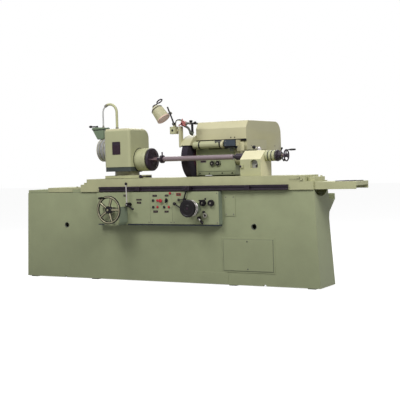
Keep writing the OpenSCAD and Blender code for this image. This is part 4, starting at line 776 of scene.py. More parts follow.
class GRINDER_OT_headstock_motor(Piece, Operator):
    """Ribbed motor behind the headstock, its terminal box, handle and conduit"""

    bl_idname = "grinder.headstock_motor"
    bl_label = "Headstock motor"

    def build(self, scene):
        bm = bmesh.new()
        hub = Vector((-732, 200, 1185.1))
        ribs = [(0, -733), (60, -733), (84, -731), (98, -724), (104, -712)]
        x = -710
        while x < -585:
            ribs += [(105, x), (105, x + 7), (99, x + 8.5), (99, x + 13.5), (105, x + 15)]
            x += 17
        lathe(bm, (0, 200, 1185.1), X, ribs + [(105, x + 2), (105, -571), (0, -571)], 0, 72)
        knurl(bm, (-733, 200, 1185.1), Y, Z, 18, 62, X * 0, -X * 1.2, 5, 1, 10)
        hoop(bm, (-729, 200, 1185.1), X, 70, 4, 2, 48, 8)
        # Pale guard rings and spokes at the motor's back
        for x, r in ((-722, 103), (-690, 106), (-652, 106)):
            hoop(bm, (x, 200, 1185.1), X, r, 3, 3, 72, 8)
        for i in range(8):
            a = i * pi / 4 + 0.3
            d = Vector((0, cos(a), sin(a)))
            rod(bm, hub + d * 24, hub + d * 68, 2.4, 2.4, 2, 8)
        place("headstock_motor_finished", "headstock", bm, "fins black alloy cream",
              "cast_paint",
              ["headstock_motor"])
        bm = bmesh.new()
        # Hopper-shaped box, narrower at its foot
        prism(bm, [(-755, 1286), (-685, 1286), (-685, 1374), (-808, 1374)], "y", 152, 256)
        bm.normal_update()
        soften(bm, sharp_edges(bm), 8, 4)
        prism(bm, [(-813, 1378), (-683, 1378), (-683, 1396), (-770, 1400), (-809, 1396)], "y", 148, 260)
        bm.normal_update()
        lid = [e for e in sharp_edges(bm) if all(v.co.z > 1376 for v in e.verts)]
        soften(bm, lid, 4, 3)
        prism(bm, [(-807, 1373), (-686, 1373), (-686, 1379), (-807, 1379)], "y", 152, 256, 1)
        for x in (-800, -695):
            for y in (160, 248):
                slot_screw(bm, (x, y, 1396.5), Z, 5, 2)
        lathe(bm, (-784, 204, 1330), (-1, 0, -0.62), [(13, -2), (13, 7), (9, 8), (9, 14), (0, 14)], 1, 24)
        place("terminal_box", "headstock", bm, "box black alloy", "green_paint")
        bm = bmesh.new()
        rod(bm, (-784, 200, 1394), (-784, 200, 1416), 10, 8, 0, 24)
        tube(bm, [(-784, 200, 1408), (-820, 200, 1409), (-859, 200, 1410)], 6, 0)
        ball(bm, (-859, 200, 1410), 14, 0, (1.4, 1, 0.85))
        place("motor_handle", "headstock", bm, "black", "dark_plastic")
        self.conduit()

    def conduit(self):
        bm = bmesh.new()
        c = (-635, 200, 1530)
        thick = [(-557, 200, z) for z in (1371, 1410, 1470)] + arc(c, 78, 0, 112, 18)
        tube(bm, thick, 12, 0, 20)
        tube(bm, arc(c, 78, 108, 130, 4), 13.4, 1, 20)
        thin = arc(c, 78, 128, 180, 10) + [(-713, 200, z) for z in (1500, 1450, 1394)]
        tube(bm, thin, 6.8, 2, 16)
        lathe(bm, (-557, 200, 1371), Z, [(19, 0), (19, 5), (16, 8), (16, 20), (13.5, 22), (12, 22)], 1, 6)
        lathe(bm, (-713, 200, 1395), Z, [(12, 0), (12, 6), (9.5, 9), (9.5, 20), (7, 22)], 1, 6)
        remade("conduit_arch", "headstock", bm, "upper alloy fins", "green_paint")


class GRINDER_OT_work(Piece, Operator):
    """Faceplate, drive dog and ground bar between the centres"""

    bl_idname = "grinder.work"
    bl_label = "Work"

    def build(self, scene):
        bm = bmesh.new()
        lathe(bm, WORK_AXIS, X, [
            (20.1, -165), (97, -165), (103, -162), (103, -149), (97, -141.5), (80, -139), (60, -138),
            (58, -142), (46, -142), (44, -138), (20.1, -138),
        ], 0, 96)
        rod(bm, (-142, 100, 1085.1), (-32, 100, 1085.1), 6, mat=1)
        lathe(bm, (-138, 100, 1085.1), X, [(0, 0), (14, 0), (14, 7), (12, 9), (6, 9)], 0, 6)
        for a in (60, 180, 300):
            c = Vector((-138.5, 160 + 74 * cos(radians(a)), 1085.1 + 74 * sin(radians(a))))
            socket_screw(bm, c, X, 7, 1, 2)
        remade("faceplate", "work", bm, "dark steel black", "dark_paint")
        bm = bmesh.new()
        lathe(bm, WORK_AXIS, X, [(22.1, -62), (33, -62), (36, -59), (36, -35), (33, -32), (22.1, -32)], 0, 48)
        prism(bm, [(88, 1076), (96, 1070), (130, 1066), (150, 1052), (150, 1118), (130, 1104), (96, 1100),
                   (88, 1094)], "x", -60, -34, 0)
        rod(bm, (-47, 160, 1106), (-47, 160, 1148), 6, mat=0, seg=20)
        lathe(bm, (-47, 160, 1140), Z, [(0, 0), (9, 0), (9, 8), (0, 9)], 0, 4)
        remade("drive_dog", "work", bm, "dark", "dark_paint", 0.0015)
        bm = bmesh.new()
        lathe(bm, WORK_AXIS, X, [
            (0, -59.5), (5.6, -70.5), (20.5, -71), (22, -69.5), (22, 673.5), (20.5, 675), (5.6, 674.5),
            (0, 663.5),
        ], 0, 64)
        remade("work_bar", "work", bm, "bar", "ground_steel", angle=25)


class GRINDER_OT_tailstock(Piece, Operator):
    """Tailstock body with its barrel, quill, handwheel, star and clamp"""

    bl_idname = "grinder.tailstock"
    bl_label = "Tailstock"

    def build(self, scene):
        body = dressed("tailstock_body", "tailstock", "upper", "cast_paint", 0.003)
        body.data.materials.append(finishes()["pale"])
        # Top and right-hand faces take the paler copy: painted light
        for face in body.data.polygons:
            if (face.normal.x > 0.7 or face.normal.z > 0.4) and face.area > 0.002:
                face.material_index = 1
        bm = bmesh.new()
        # Rings on the barrel's grooves in dark enamel, painted shade; a dark inside for the front arch and a
        # foot strip
        for x in (1016, 1048, 1080):
            lathe(bm, (x, 160, 1085.1), X, [(44, -3.5), (45.4, -2.5), (45.4, 2.5), (44, 3.5)], 3, 64)
        block(bm, (798, 983), (46.5, 50), (922, 936), 0)
        lathe(bm, (804.5, 37, 1003), -Y, [(9.5, -12), (9.5, 2), (8, 3.5), (0, 3.5)], 1, 24)
        prism(bm, [(891.5, 988.5)] + [(p.x, p.z) for p in arc((925, 0, 1022.1), 33.5, 180, 0, 20)]
              + [(958.5, 988.5)], "y", 84.4, 86.5, 2)
        ball(bm, (946, 62, 1003), 12, 1)
        rod(bm, (946, 60, 1003), (946, 86, 1003), 5, mat=1, seg=16)
        place("tailstock_trim", "tailstock", bm, "upper dark fins skirt", "cast_paint")
        self.quill()
        self.wheels()

    def quill(self):
        bm = bmesh.new()
        lathe(bm, WORK_AXIS, X, [
            (0, 663.6), (6, 676), (12, 686), (12, 690), (20, 694), (22, 705), (26.5, 705), (28, 707),
            (28, 1040), (11.5, 1040), (11.5, 926), (0, 926),
        ], 0, 64)
        remade("tail_quill", "quill", bm, "dark", "ground_steel", angle=25)
        bm = bmesh.new()
        lathe(bm, (905, 195, 1134.1), Z, [(0, 0), (17, 0), (17, 20), (13, 28), (0, 30)], 0, 32)
        tube(bm, smooth_path([(905, 195, 1152), (884, 188, 1154), (863, 181, 1162)]), 5.5, 0)
        ball(bm, (863, 181, 1162), 16, 2)
        remade("tail_clamp", "tail_lock", bm, "chrome steel black", "dark_plastic")

    def wheels(self):
        bm = bmesh.new()
        lathe(bm, WORK_AXIS, X, [
            (16.1, 1087), (44, 1087), (46, 1089), (46, 1099), (44, 1101), (34, 1101.5), (32, 1104),
            (32, 1128), (29, 1132), (16.1, 1132),
        ], 0, 64)
        knurl(bm, (1094, 160, 1085.1), Y, Z, 24, 45, -X * 6, X * 6, 2.6)
        for a in (78, 198, 318):
            d = Vector((0, cos(radians(a)), sin(radians(a))))
            c = Vector((1120, 160, 1085.1))
            tube(bm, [c + d * 14, c + d * 40, c + d * 60 + X * 6], 5.5, 0)
            ball(bm, c + d * 61 + X * 6, 9, 1, seg=20)
        remade("tail_star", "star", bm, "dark black", "dark_plastic")
        bm = bmesh.new()
        c = Vector((1172, 160, 1085.1))
        rod(bm, (960, 160, 1085.1), (1186, 160, 1085.1), 9.8, mat=2)
        lathe(bm, c, X, [(0, -14), (13, -14), (16, -10), (16, 10), (12, 14), (0, 15)], 0, 32)
        hoop(bm, c, X, 46, 6, 0, 64, 12)
        for a in (0, 120, 240):
            d = Vector((0, sin(radians(a)), cos(radians(a))))
            tube(bm, [c - X * 4, c - X * 2 + d * 24, c + d * 46], 5, 0)
        lathe(bm, (1172, 160, 1131.1), X, [
            (0, 0), (4, 0), (4, 22), (6, 26), (8.5, 44), (8, 70), (6, 84), (0, 87),
        ], 1, 24)
        remade("tail_handwheel", "tail_wheel", bm, "dark black steel", "dark_paint")


# ---------------------------------------------------------------- wheelhead


class GRINDER_OT_wheelhead(Piece, Operator):
    """Cross slide and wheelhead body with its knobs, plate and motor"""

    bl_idname = "grinder.wheelhead"
    bl_label = "Wheelhead"

    def build(self, scene):
        dressed("wheelhead_slide", "cross_slide", "casting", "cast_paint", 0.003)
        dressed("wheelhead_body", "wheelhead", "casting", "cast_paint", 0.003)
        dressed("motor_pulley", "drive_pulley", "steel", "ground_steel", 0.001)
        dressed("drive_belts", "wheelhead", "rubber", "belt_rubber", 0.001)
        bm = bmesh.new()
        for x in (364, 421):
            lathe(bm, (x, 345, 1034), -Y, [(0, -1), (25, -1), (26, 2), (26, 9), (23, 13), (14, 14), (12, 18),
                                           (0, 19)], 0, 40)
            knurl(bm, (x, 344, 1034), X, Z, 20, 25.4, Y * 0, -Y * 9, 1.7)
            rod(bm, (x, 327, 1034), (x, 325.6, 1034), 7, mat=1, seg=24)
        block(bm, (240, 300), (343, 345.5), (1043, 1064), 2)
        block(bm, (244, 296), (342.4, 344), (1047, 1060), 3)
        # Rubber apron that closes the gap over the slide
        block(bm, (212, 560), (400, 404), (898, 926.3), 0)
        # Joint line of the body's lower flange, with its screws
        block(bm, (207, 588), (343.4, 346), (962, 965), 4)
        for x in (232, 330, 460, 560):
            socket_screw(bm, (x, 345, 947), -Y, 6, 0, 1)
        place("wheelhead_knobs", "wheelhead", bm, "black alloy alloy plate shade",
              "dark_plastic")
        bm = bmesh.new()
        rings = [(0, 250), (70, 250), (100, 256), (112, 276)]
        x = 284
        while x < 520:
            rings += [(112, x), (112, x + 8), (105, x + 10), (105, x + 16), (112, x + 18)]
            x += 20
        lathe(bm, (0, 860, 1150.1), X, rings + [(112, 530), (112, 552), (104, 560), (12.6, 560), (12.6, 512)],
              0, 72)
        block(bm, (275, 535), (748, 972), (1013.5, 1060), 0)
        remade("spindle_motor", "wheelhead", bm, "shade", "cast_paint", 0.001)


class GRINDER_OT_hood(Piece, Operator):
    """Sheet hood over the wheelhead, with its belt case"""

    bl_idname = "grinder.hood"
    bl_label = "Hood"

    def build(self, scene):
        bm = bmesh.new()
        top, back, r = 1404.1, 1035.0, 110.0
        side = [(335, 1235.1), (335, top - 60), (378, top)]
        side += [(p.y, p.z) for p in arc((0, back - r, top - r), r, 90, 0, 14, "yz")]
        side += [(back, 1045), (731, 1045), (731, 1235.1)]
        prism(bm, side, "x", 206, 713)
        bm.normal_update()
        bmesh.ops.recalc_face_normals(bm, faces=bm.faces)
        under = [f for f in bm.faces if f.normal.z < -0.9]
        bmesh.ops.delete(bm, geom=under, context="FACES_ONLY")
        ridge = [e for e in sharp_edges(bm, 20) if abs((e.verts[0].co - e.verts[1].co).x) > 400
                 and e.verts[0].co.y < 400]
        soften(bm, ridge, 5, 3)
        ends = [e for e in sharp_edges(bm, 60) if abs((e.verts[0].co - e.verts[1].co).x) < 1
                and (e.verts[0].co.y < 1034 or e.verts[0].co.z > 1100)
                and e.verts[0].co.z + e.verts[1].co.z > 2480]
        soften(bm, ends, 5, 3)
        bm.normal_update()
        # Faces that look to the front take the lighter copy: painted light
        for f in bm.faces:
            f.material_index = 1 if f.normal.y < -0.8 else 0
        place("hood_finished", "wheelhead", bm, "hood front", "green_paint", ["wheelhead_cover"],
              angle=30, wall=0.0035)
        bm = bmesh.new()
        block(bm, (596, 712.6), (345, 1034), (1144.1, 1240))
        bmesh.ops.delete(bm, geom=[f for f in bm.faces if f.normal.z > 0.9 or f.normal.x < -0.9],
                         context="FACES_ONLY")
        soften(bm, sharp_edges(bm), 5, 3)
        prism(bm, [(p.y, p.z) for p in arc(WHEEL_AXIS, 73, 200, 372, 24, "yz")] + [(473, 1150), (331, 1150)],
              "x", 598, 656)
        place("belt_case", "wheelhead", bm, "hood", "green_paint", angle=30, wall=0.003)
        bm = bmesh.new()
        # Black strip under the front, a seam widened into painted shadow under the hood's edge; the lid's
        # catches and two press studs by the bracket
        block(bm, (206.5, 712), (333.4, 337), (1224, 1243.5), 1)
        for x in (560, 599):
            lathe(bm, (x, 335, 1258), -Y, [(5.5, -0.5), (5.5, 2), (4, 3.4), (0, 3.8)], 1, 20)
        for y in (430, 900):
            lathe(bm, (713, y, 1180), X, [(6, -0.5), (6, 2), (4, 3.4), (0, 3.8)], 0, 20)
        place("hood_trim", "wheelhead", bm, "alloy black", "dark_paint")


class GRINDER_OT_wheel(Piece, Operator):
    """Grinding wheel on its flanges and spindle, under its guard"""

    bl_idname = "grinder.wheel"
    bl_label = "Grinding wheel"

    def build(self, scene):
        c = WHEEL_AXIS
        bm = bmesh.new()
        lathe(bm, c, X, [(25.1, 124), (198, 124), (200, 126), (200, 185), (198, 187), (25.1, 187)], 0, 128)
        for x, out in ((124, -1), (187, 1)):
            lathe(bm, c, X, [(25.1, x), (92, x), (92, x + out * 0.9), (25.1, x + out * 0.9)], 1, 96)
        remade("grinding_wheel", "wheel", bm, "grit blotter", "wheel_grit")
        bm = bmesh.new()
        lathe(bm, c, X, [
            (0, 100.5), (24, 100.5), (25, 102), (25, 114), (52, 114), (62, 118), (62, 123.9), (25, 123.9),
            (25, 187.1), (62, 187.1), (62, 193), (52, 197), (25, 197), (25, 602), (55, 602), (55, 640),
            (24, 640), (24, 641), (0, 641),
        ], 0, 64)
        for i in range(6):
            a = i * pi / 3
            socket_screw(bm, (114, 400 + 40 * cos(a), 1085.1 + 40 * sin(a)), -X, 7, 0, 1)
        lathe(bm, c, X, [(0, 92), (17, 92), (19, 94), (19, 104), (0, 104)], 1, 6)
        remade("wheel_spindle", "wheel", bm, "slide black", "ground_steel",
              angle=25)
        dressed("wheel_guard", "wheelhead", "hood", "green_paint", 0.0015)
        bm = bmesh.new()
        # Bolts round the guard, the bracket's screws and the lamp box's lid
        for a in (30, 62, 94, 126, 158):
            p = Vector((106, 400 - 204 * cos(radians(a)), 1085.1 + 204 * sin(radians(a))))
            socket_screw(bm, p, -X, 5, 0, 1)
        for z in (1215, 1250):
            socket_screw(bm, (86, 258, z), -X, 7, 0, 1)
        block(bm, (2, 52), (226, 228.5), (1310, 1370), 2)
        for x in (7, 47):
            for z in (1315, 1365):
                slot_screw(bm, (x, 226, z), -Y, 2.6, 0, 1)
        rod(bm, (27, 222, 1340), (27, 228, 1340), 9, mat=1, seg=24)
        rod(bm, (27, 216, 1340), (27, 223, 1340), 3, mat=0, seg=12)
        place("guard_trim", "wheelhead", bm, "alloy black upper", "dark_paint")


class GRINDER_OT_internal_spindle(Piece, Operator):
    """Internal grinding spindle under the hood's front edge, and its pulley"""

    bl_idname = "grinder.internal_spindle"
    bl_label = "Internal spindle"

    def build(self, scene):
        bm = bmesh.new()
        c = (0, 290, 1200.1)
        lathe(bm, c, X, [
            (10.1, 207), (28, 207), (33, 212), (33, 241), (29.5, 243), (29.5, 252), (33, 254), (33, 470),
            (29.5, 472), (29.5, 484), (33, 486), (33, 516), (29, 520), (10.1, 520),
        ], 0, 64)
        for x0, x1 in ((269, 283), (478, 492)):
            lathe(bm, c, X, [(28, x0), (33.8, x0), (33.8, x1), (28, x1)], 1, 64)
        lathe(bm, c, X, [(28, 493), (36, 493), (37, 496), (37, 515), (35, 518), (28, 518)], 2, 48)
        prism(bm, [(300, 1170), (400, 1170), (400, 1233), (300, 1233)], "x", 300, 430, 0)
        remade("internal_spindle", "wheelhead", bm, "green black front", "cast_paint", 0.001)
        bm = bmesh.new()
        # Dark hanger at the spindle's right end
        block(bm, (432, 512), (268, 300), (1196, 1233), 0)
        soften(bm, sharp_edges(bm), 3, 3)
        block(bm, (436, 508), (262, 270), (1206, 1230), 1)
        socket_screw(bm, (450, 262, 1218), -Y, 6, 1, 0)
        socket_screw(bm, (494, 262, 1218), -Y, 6, 1, 0)
        place("spindle_hanger", "wheelhead", bm, "dark shade", "dark_paint")
        bm = bmesh.new()
        # Open sheet cover round the small pulley
        block(bm, (536, 650), (250, 253), (1181, 1234), 0)
        block(bm, (510, 640), (300, 303), (1163, 1186), 0)
        block(bm, (566, 601), (297, 301), (1137, 1178), 2)
        block(bm, (648, 653), (249.5, 252), (1181, 1234), 3)
        block(bm, (625, 632), (298, 301), (1137, 1183), 3)
        block(bm, (650, 655), (252, 342), (1181, 1234), 4)
        block(bm, (634, 705), (303, 306), (1138, 1215), 4)
        for z in (1190, 1224):
            slot_screw(bm, (552, 250, z), -Y, 4, 1, 0)
        place("pulley_cover", "wheelhead", bm, "blue alloy shade black front",
              "dark_paint", edge=0.001)
        bm = bmesh.new()
        rod(bm, (208, 290, 1200.1), (618, 290, 1200.1), 10, mat=0)
        lathe(bm, c, X, [
            (10, 532), (32, 532), (32, 538), (30, 540), (30, 560), (30, 610), (32, 612), (32, 618), (10, 618),
        ], 1, 48)
        rod(bm, (199, 290, 1200.1), (208, 290, 1200.1), 7, mat=0)
        remade("internal_pulley", "internal_shaft", bm, "steel dark", "ground_steel", angle=25)


class GRINDER_OT_coolant(Piece, Operator):
    """Coolant tap, its pipes, knobs and hose"""

    bl_idname = "grinder.coolant"
    bl_label = "Coolant"

    def build(self, scene):
        t = Vector((132, 256, 1397.1))
        bm = bmesh.new()
        lathe(bm, t, Y, [(0, -24), (17, -24), (24, -19), (24, 18), (20, 24), (0, 24)], 3, 40)
        tube(bm, [t + X * 6, t + X * 46, (218, 256, 1397.1)], 9.5, 0)
        for x in (158, 197):
            lathe(bm, (x, 256, 1397.1), X, [(10, -7), (14, -7), (14, 7), (10, 7)], 2, 6)
        tube(bm, [(200, 256, 1397.1), (212, 256, 1396), (217, 256, 1390), (217, 256, 1345), (217, 256, 1303)],
             11, 1)
        lathe(bm, (217, 256, 1316), -Z, [(10, -4), (14, -4), (14, 8), (10, 14), (6, 14)], 0, 24)
        lathe(bm, (205, 256, 1400), Z, [
            (0, 0), (10, 0), (10, 8), (15, 10), (15, 20), (12, 23), (0, 23),
        ], 1, 24)
        lathe(bm, (234, 256, 1397.1), X, [
            (0, 0), (8, 0), (8, 4), (14, 6), (14, 19), (11, 22), (0, 22),
        ], 1, 24)
        back = smooth_path([(176, 256, 1397), (176, 330, 1398), (176, 520, 1396), (176, 592, 1385),
                            (182, 600, 1362), (206, 600, 1357)], 8)
        tube(bm, back, 8.8, 0)
        # Curved hose from the tap down to the guard
        hose = smooth_path([(136, 250, 1378), (150, 250, 1371), (176, 252, 1356), (190, 255, 1332),
                            (194, 262, 1308), (190, 300, 1296)], 12)
        tube(bm, hose, 9.5, 0, 16, 1.3)
        place("coolant_pipe_finished", "wheelhead", bm, "shade black alloy rose",
              "dark_paint", ["coolant_pipe"], angle=40)
        bm = bmesh.new()
        lathe(bm, t, -Y, [(0, 24.5), (13, 24.5), (13, 32), (9, 38), (0, 38)], 0, 32)
        rod(bm, t - Y * 12, t - Y * 25, 5.8, mat=1)
        rod(bm, t - Y * 38, t - Y * 41, 6.5, mat=1, seg=20)
        for a in (85, 205, 325):
            d = Vector((cos(radians(a)), 0, sin(radians(a))))
            tube(bm, [t - Y * 31, t - Y * 31 + d * 18, t - Y * 31 + d * 34], 5.6, 0)
            ball(bm, t - Y * 31 + d * 36, 6.3, 0, seg=16)
        remade("coolant_tap", "tap", bm, "rose black", "red_paint")


class GRINDER_OT_lamp(Piece, Operator):
    """Machine lamp with its arm, ribbed bell, rim and ring handle"""

    bl_idname = "grinder.lamp"
    bl_label = "Lamp"

    def build(self, scene):
        bm = bmesh.new()
        lathe(bm, (27, 256, 1399.1), Y, [(0, -14), (11, -14), (14, -12), (14, 12), (11, 14), (0, 14)], 0, 32)
        socket_screw(bm, (27, 242, 1399.1), -Y, 7, 1, 0)
        tube(bm, [(27, 256, 1399.1), (-4, 256, 1474), (-35, 256, 1549.1)], 7, 0)
        rod(bm, (-33, 256, 1544), (-37, 256, 1553), 7.4, mat=0, seg=20)
        rod(bm, (-13.3, 254, 1496.6), (-13.3, 276, 1496.6), 4.9, mat=1, seg=20)
        lathe(bm, (-13.3, 276, 1496.6), Y, [(0, 0), (9, 0), (9, 6), (0, 7)], 0, 16)
        remade("lamp_arm", "lamp_rod", bm, "black alloy", "dark_paint")
        bm = bmesh.new()
        tilt = radians(38)
        axis, side = Vector((sin(tilt), 0, -cos(tilt))), Vector((cos(tilt), 0, sin(tilt)))
        c = Vector((-150, 256, 1537.1))
        lathe(bm, c, axis, [
            (22, -32), (34, -27), (46, -14), (53, 0), (53.6, 8), (60.4, 102), (61, 104), (63.6, 107),
            (63.6, 113), (61.5, 116), (58.5, 116), (58, 108), (50.5, 2), (44, -12), (20, -28),
        ], 0, 72)
        lathe(bm, c, axis, [(52, -3.5), (55, -3.5), (56.5, 0), (55, 3.5), (52, 3.5)], 1, 72)
        lathe(bm, c, axis, [(0, -46), (19, -46), (22, -43), (22, -31), (0, -31)], 1, 48)
        knurl(bm, c - axis * 38, side, Y, 12, 21.6, -axis * 5, axis * 5, 1.5, 1)
        for i in range(28):
            a = i * pi / 14
            d = side * cos(a) + Y * sin(a)
            rod(bm, c + axis * 6 + d * 53.2, c + axis * 103 + d * 60.2, 1.7, mat=3, seg=6)
        lathe(bm, c, axis, [
            (0, 113), (57, 113), (58.3, 115), (61.5, 116.6), (63.9, 114), (63.9, 106), (62, 105),
        ], 4, 72)
        ball(bm, c + axis * 26, 26, 2, seg=24)
        rod(bm, c - axis * 30, c + axis * 6, 15, mat=1, seg=24)
        # Ring handle on its stub behind the bell
        middle = c - axis * 39 + side * 68
        hoop(bm, middle, axis, 27, 6, 1, 40, 10)
        tube(bm, [middle - side * 50, middle - side * 38, middle - side * 26], 5, 1)
        place("lamp_head_finished", "lamp", bm, "cream dark bulb upper glass",
              "green_paint", ["lamp_head"],
              angle=28)
        bm = bmesh.new()
        lathe(bm, (-13.3, 262.4, 1496.6), Y, [(5, 0), (13, 0), (13, 10.8), (5, 10.8)], 0, 32)
        tube(bm, [(-20, 267.8, 1496.6), (-58, 267.8, 1496.6)], 4, 0)
        place("lamp_eye", "lamp", bm, "alloy", "bright_steel")
        bm = bmesh.new()
        route = smooth_path([(46, 256, 1370), (45, 256, 1400), (52, 256, 1424), (76, 256, 1434),
                             (106, 256, 1429), (126, 256, 1412)], 10)
        tube(bm, route, 4.5, 0, 12)
        lathe(bm, (46, 256, 1372), Z, [(0, 0), (7, 0), (7, 6), (4, 12), (0, 12)], 0, 16)
        place("lamp_cable", "wheelhead", bm, "black", "dark_plastic")


# ---------------------------------------------------------------- hand controls

# Radius and height pairs of a small lever's hub
LEVER_HUB = [(5.9, -4), (5.9, 0), (14, 0), (14, 20), (10, 27), (0, 28)]


class GRINDER_OT_table_handwheel(Piece, Operator):
    """Spoked table handwheel with its grip, shaft and gears"""

    bl_idname = "grinder.table_handwheel"
    bl_label = "Table handwheel"

    def build(self, scene):
        count = scene.grinder_detail.spokes
        c = Vector((-375, -225, 652))
        bm = bmesh.new()
        # Pale rim between dark bands inside and out: the bands are painted dark reflections of a chromed rim
        rim = [(113.5 + 6.5 * cos(a * pi / 12), 9.5 * sin(a * pi / 12)) for a in range(25)]
        lathe(bm, c, -Y, rim, 0, 96)
        lathe(bm, c, -Y, [(119, -7), (123, -7), (125, -4), (125, 4), (123, 7), (119, 7)], 1, 96)
        lathe(bm, c, -Y, [(108.5, -7), (104.5, -7), (102.5, -4), (102.5, 4), (104.5, 7), (108.5, 7)], 1, 96)
        lathe(bm, c, -Y, [
            (12.6, -14), (30, -14), (34, -11), (34, 6), (28, 13), (13, 15), (12, 17), (0, 17.5),
        ], 1, 48)
        lathe(bm, c, -Y, [(0, 17), (9, 17), (9, 20), (0, 21)], 0, 24)
        for i in range(count):
            a = 2 * pi * i / count + 0.32
            d = Vector((sin(a), 0, cos(a)))
            e = Vector((cos(a), 0, -sin(a)))
            # Black strips beside each spoke: painted dark reflections along its edges
            for off, wide, mat in ((0, 7.5, 0), (9, 3.4, 1), (-9, 3.4, 1)):
                tube(bm, [c + d * 18 + e * off * 0.8, c + d * 50 + e * off - Y * 3,
                          c + d * 84 + e * off - Y * 3, c + d * 107 + e * off * 1.2], wide, mat, 14)
        place("table_wheel_rim", "table_wheel", bm, "rim black", "bright_steel", ["table_handwheel"])
        bm = bmesh.new()
        turn = radians(112)
        g = Vector((-375 + 114 * cos(turn), 0, 652 + 114 * sin(turn)))
        lathe(bm, g, -Y, [
            (0, 228), (6, 228), (7.5, 236), (10.5, 262), (11, 290), (9, 306), (5, 312), (0, 313),
        ], 0, 32)
        lathe(bm, g, -Y, [(0, 224), (5, 224), (5, 229), (0, 229)], 1, 24)
        rod(bm, (-375, -225, 652), (-375, -26, 652), 12.4, mat=1)
        lathe(bm, (-375, 0, 652), -Y, [(12.4, 190.6), (30, 190.6), (30, 198), (24, 206), (12.4, 207)], 1, 48)
        lathe(bm, (-375, 0, 652), -Y, [(12.4, 26), (16, 26), (16, 46), (12.4, 46)], 1, 32)
        place("table_wheel_grip", "table_wheel", bm, "black alloy", "dark_plastic")
        dressed("rack_pinion", "pinion", "steel", "ground_steel", 0.0)


class GRINDER_OT_cross_handwheel(Piece, Operator):
    """Cross-feed handwheel with its chromed, graduated dials and feed screw"""

    bl_idname = "grinder.cross_handwheel"
    bl_label = "Cross handwheel"

    def build(self, scene):
        marks = scene.grinder_detail.dial_marks
        c = Vector((402, 0, 662))
        bm = bmesh.new()
        lathe(bm, c, -Y, [
            (15, 160), (66, 160), (73, 162), (75, 166), (75, 176), (73, 181), (68, 184), (62, 184.4),
            (58, 181), (52, 179.5), (30, 180), (26, 183), (22, 184.5), (0, 185),
        ], 0, 96)
        knurl(bm, c, X, Z, 40, 74.4, -Y * 166, -Y * 177, 2.2, 0, 6)
        lathe(bm, c, -Y, [(0, 184), (11, 184), (11, 185.4), (0, 185.8)], 1, 24)
        place("cross_wheel_disc", "cross_wheel", bm, "black plate", "dark_plastic", ["cross_handwheel"])
        bm = bmesh.new()
        lathe(bm, c, -Y, [
            (15, 114), (69, 114), (71, 116), (71, 124), (69.5, 126), (67, 127), (67, 130), (69.5, 131),
            (71, 133), (71, 147), (69, 150), (40, 150), (40, 160), (15, 160),
        ], 0, 96)
        lathe(bm, c, -Y, [(66, 126.5), (69, 126.5), (69, 130.5), (66, 130.5)], 1, 96)
        lathe(bm, c, -Y, [(39, 151), (62, 151), (66, 154), (66, 158), (39, 159)], 1, 64)
        for i in range(marks):
            a = 2 * pi * i / marks
            d = Vector((cos(a), 0, sin(a)))
            deep = 11 if i % 5 == 0 else 7
            rod(bm, c + d * 71 - Y * (146 - deep), c + d * 71 - Y * 146, 0.55, mat=1, seg=4)
        rod(bm, (402, -160, 662), (402, 1109, 662), 14.9, mat=2)
        place("cross_wheel_dials", "cross_wheel", bm, "chrome black steel", "bright_steel")


class GRINDER_OT_levers(Piece, Operator):
    """Table lever, reversing lever, rapid lever and infeed lever"""

    bl_idname = "grinder.levers"
    bl_label = "Levers"

    def build(self, scene):
        bm = bmesh.new()
        p = Vector((-262, -60.3, 691))
        lathe(bm, p, -Y, [(9.9, -4), (9.9, 0), (20, 0), (20, 30), (18, 48), (15, 54), (0, 55)], 0, 40)
        lathe(bm, p - Y * 54, -Y, [(0, 0), (8, 0), (8, 3), (0, 4)], 1, 6)
        tube(bm, [(-262, -105, 691), (-228, -105, 669), (-208, -105, 656)], 7, 0)
        ball(bm, (-203, -105, 653), 10.5, 0, (1.25, 1, 0.85))
        tube(bm, [(-262, -105, 691), (-264, -105, 780), (-266, -105, 868)], 5.8, 1)
        lathe(bm, (-266, -105, 860), Z, [(5.8, -6), (8, -4), (8, 2), (6, 4)], 1, 24)
        ball(bm, (-266, -105, 876), 13, 2)
        remade("table_lever", "table_control", bm, "black chrome black", "dark_plastic")

        bm = bmesh.new()
        p = Vector((309, -60.3, 731))
        lathe(bm, p, -Y, [(5.9, -4), (5.9, 0), (14, 0), (14, 16), (11, 21), (0, 21.7)], 0, 32)
        tube(bm, [(309, -76, 731), (322, -76, 772), (335, -76, 812)], 6, 0)
        tube(bm, [(309, -76, 731), (284, -76, 731), (264, -76, 731)], 5, 0)
        ball(bm, (256, -76, 731), 12, 0)
        rod(bm, (256, -87, 731), (256, -88.4, 731), 4, mat=1, seg=20)
        place("reversing_rod", "reverser", bm, "black alloy", "dark_plastic")
        bm = bmesh.new()
        block(bm, (304, 366), (-82, -36), (808, 848))
        soften(bm, sharp_edges(bm), 4, 3)
        rod(bm, (335, -80, 828), (335, -86, 828), 11, mat=0)
        socket_screw(bm, (335, -85, 828), -Y, 7, 1, 0)
        lathe(bm, (335, -60, 848), Z, [(0, -1), (8, -1), (8, 1), (5, 3), (0, 3.5)], 1, 20)
        place("reversing_block", "reverser", bm, "dark plate", "dark_paint", ["reversing_lever"])

        bm = bmesh.new()
        lathe(bm, (300, -60.3, 682), -Y, LEVER_HUB, 0, 32)
        bend = smooth_path([(300, -82, 682), (284, -82, 670), (268, -82, 666), (246, -82, 681),
                            (217, -82, 697)], 5)
        tube(bm, bend, 5.4, 1)
        ball(bm, (217, -82, 697), 15, 0)
        remade("rapid_lever", "rapid", bm, "black black", "dark_plastic")
        bm = bmesh.new()
        lathe(bm, (452, -60.3, 575), -Y, LEVER_HUB, 0, 32)
        tube(bm, [(452, -82, 575), (468, -83, 557), (482, -82, 543)], 5.6, 1)
        lathe(bm, (470, -82.4, 556), (35, 0, -38), [
            (5.6, 0), (8, 3), (11, 12), (13, 24), (11, 34), (5, 38), (0, 38.5),
        ], 0, 24)
        remade("infeed_lever", "infeed_control", bm, "black chrome", "dark_plastic")


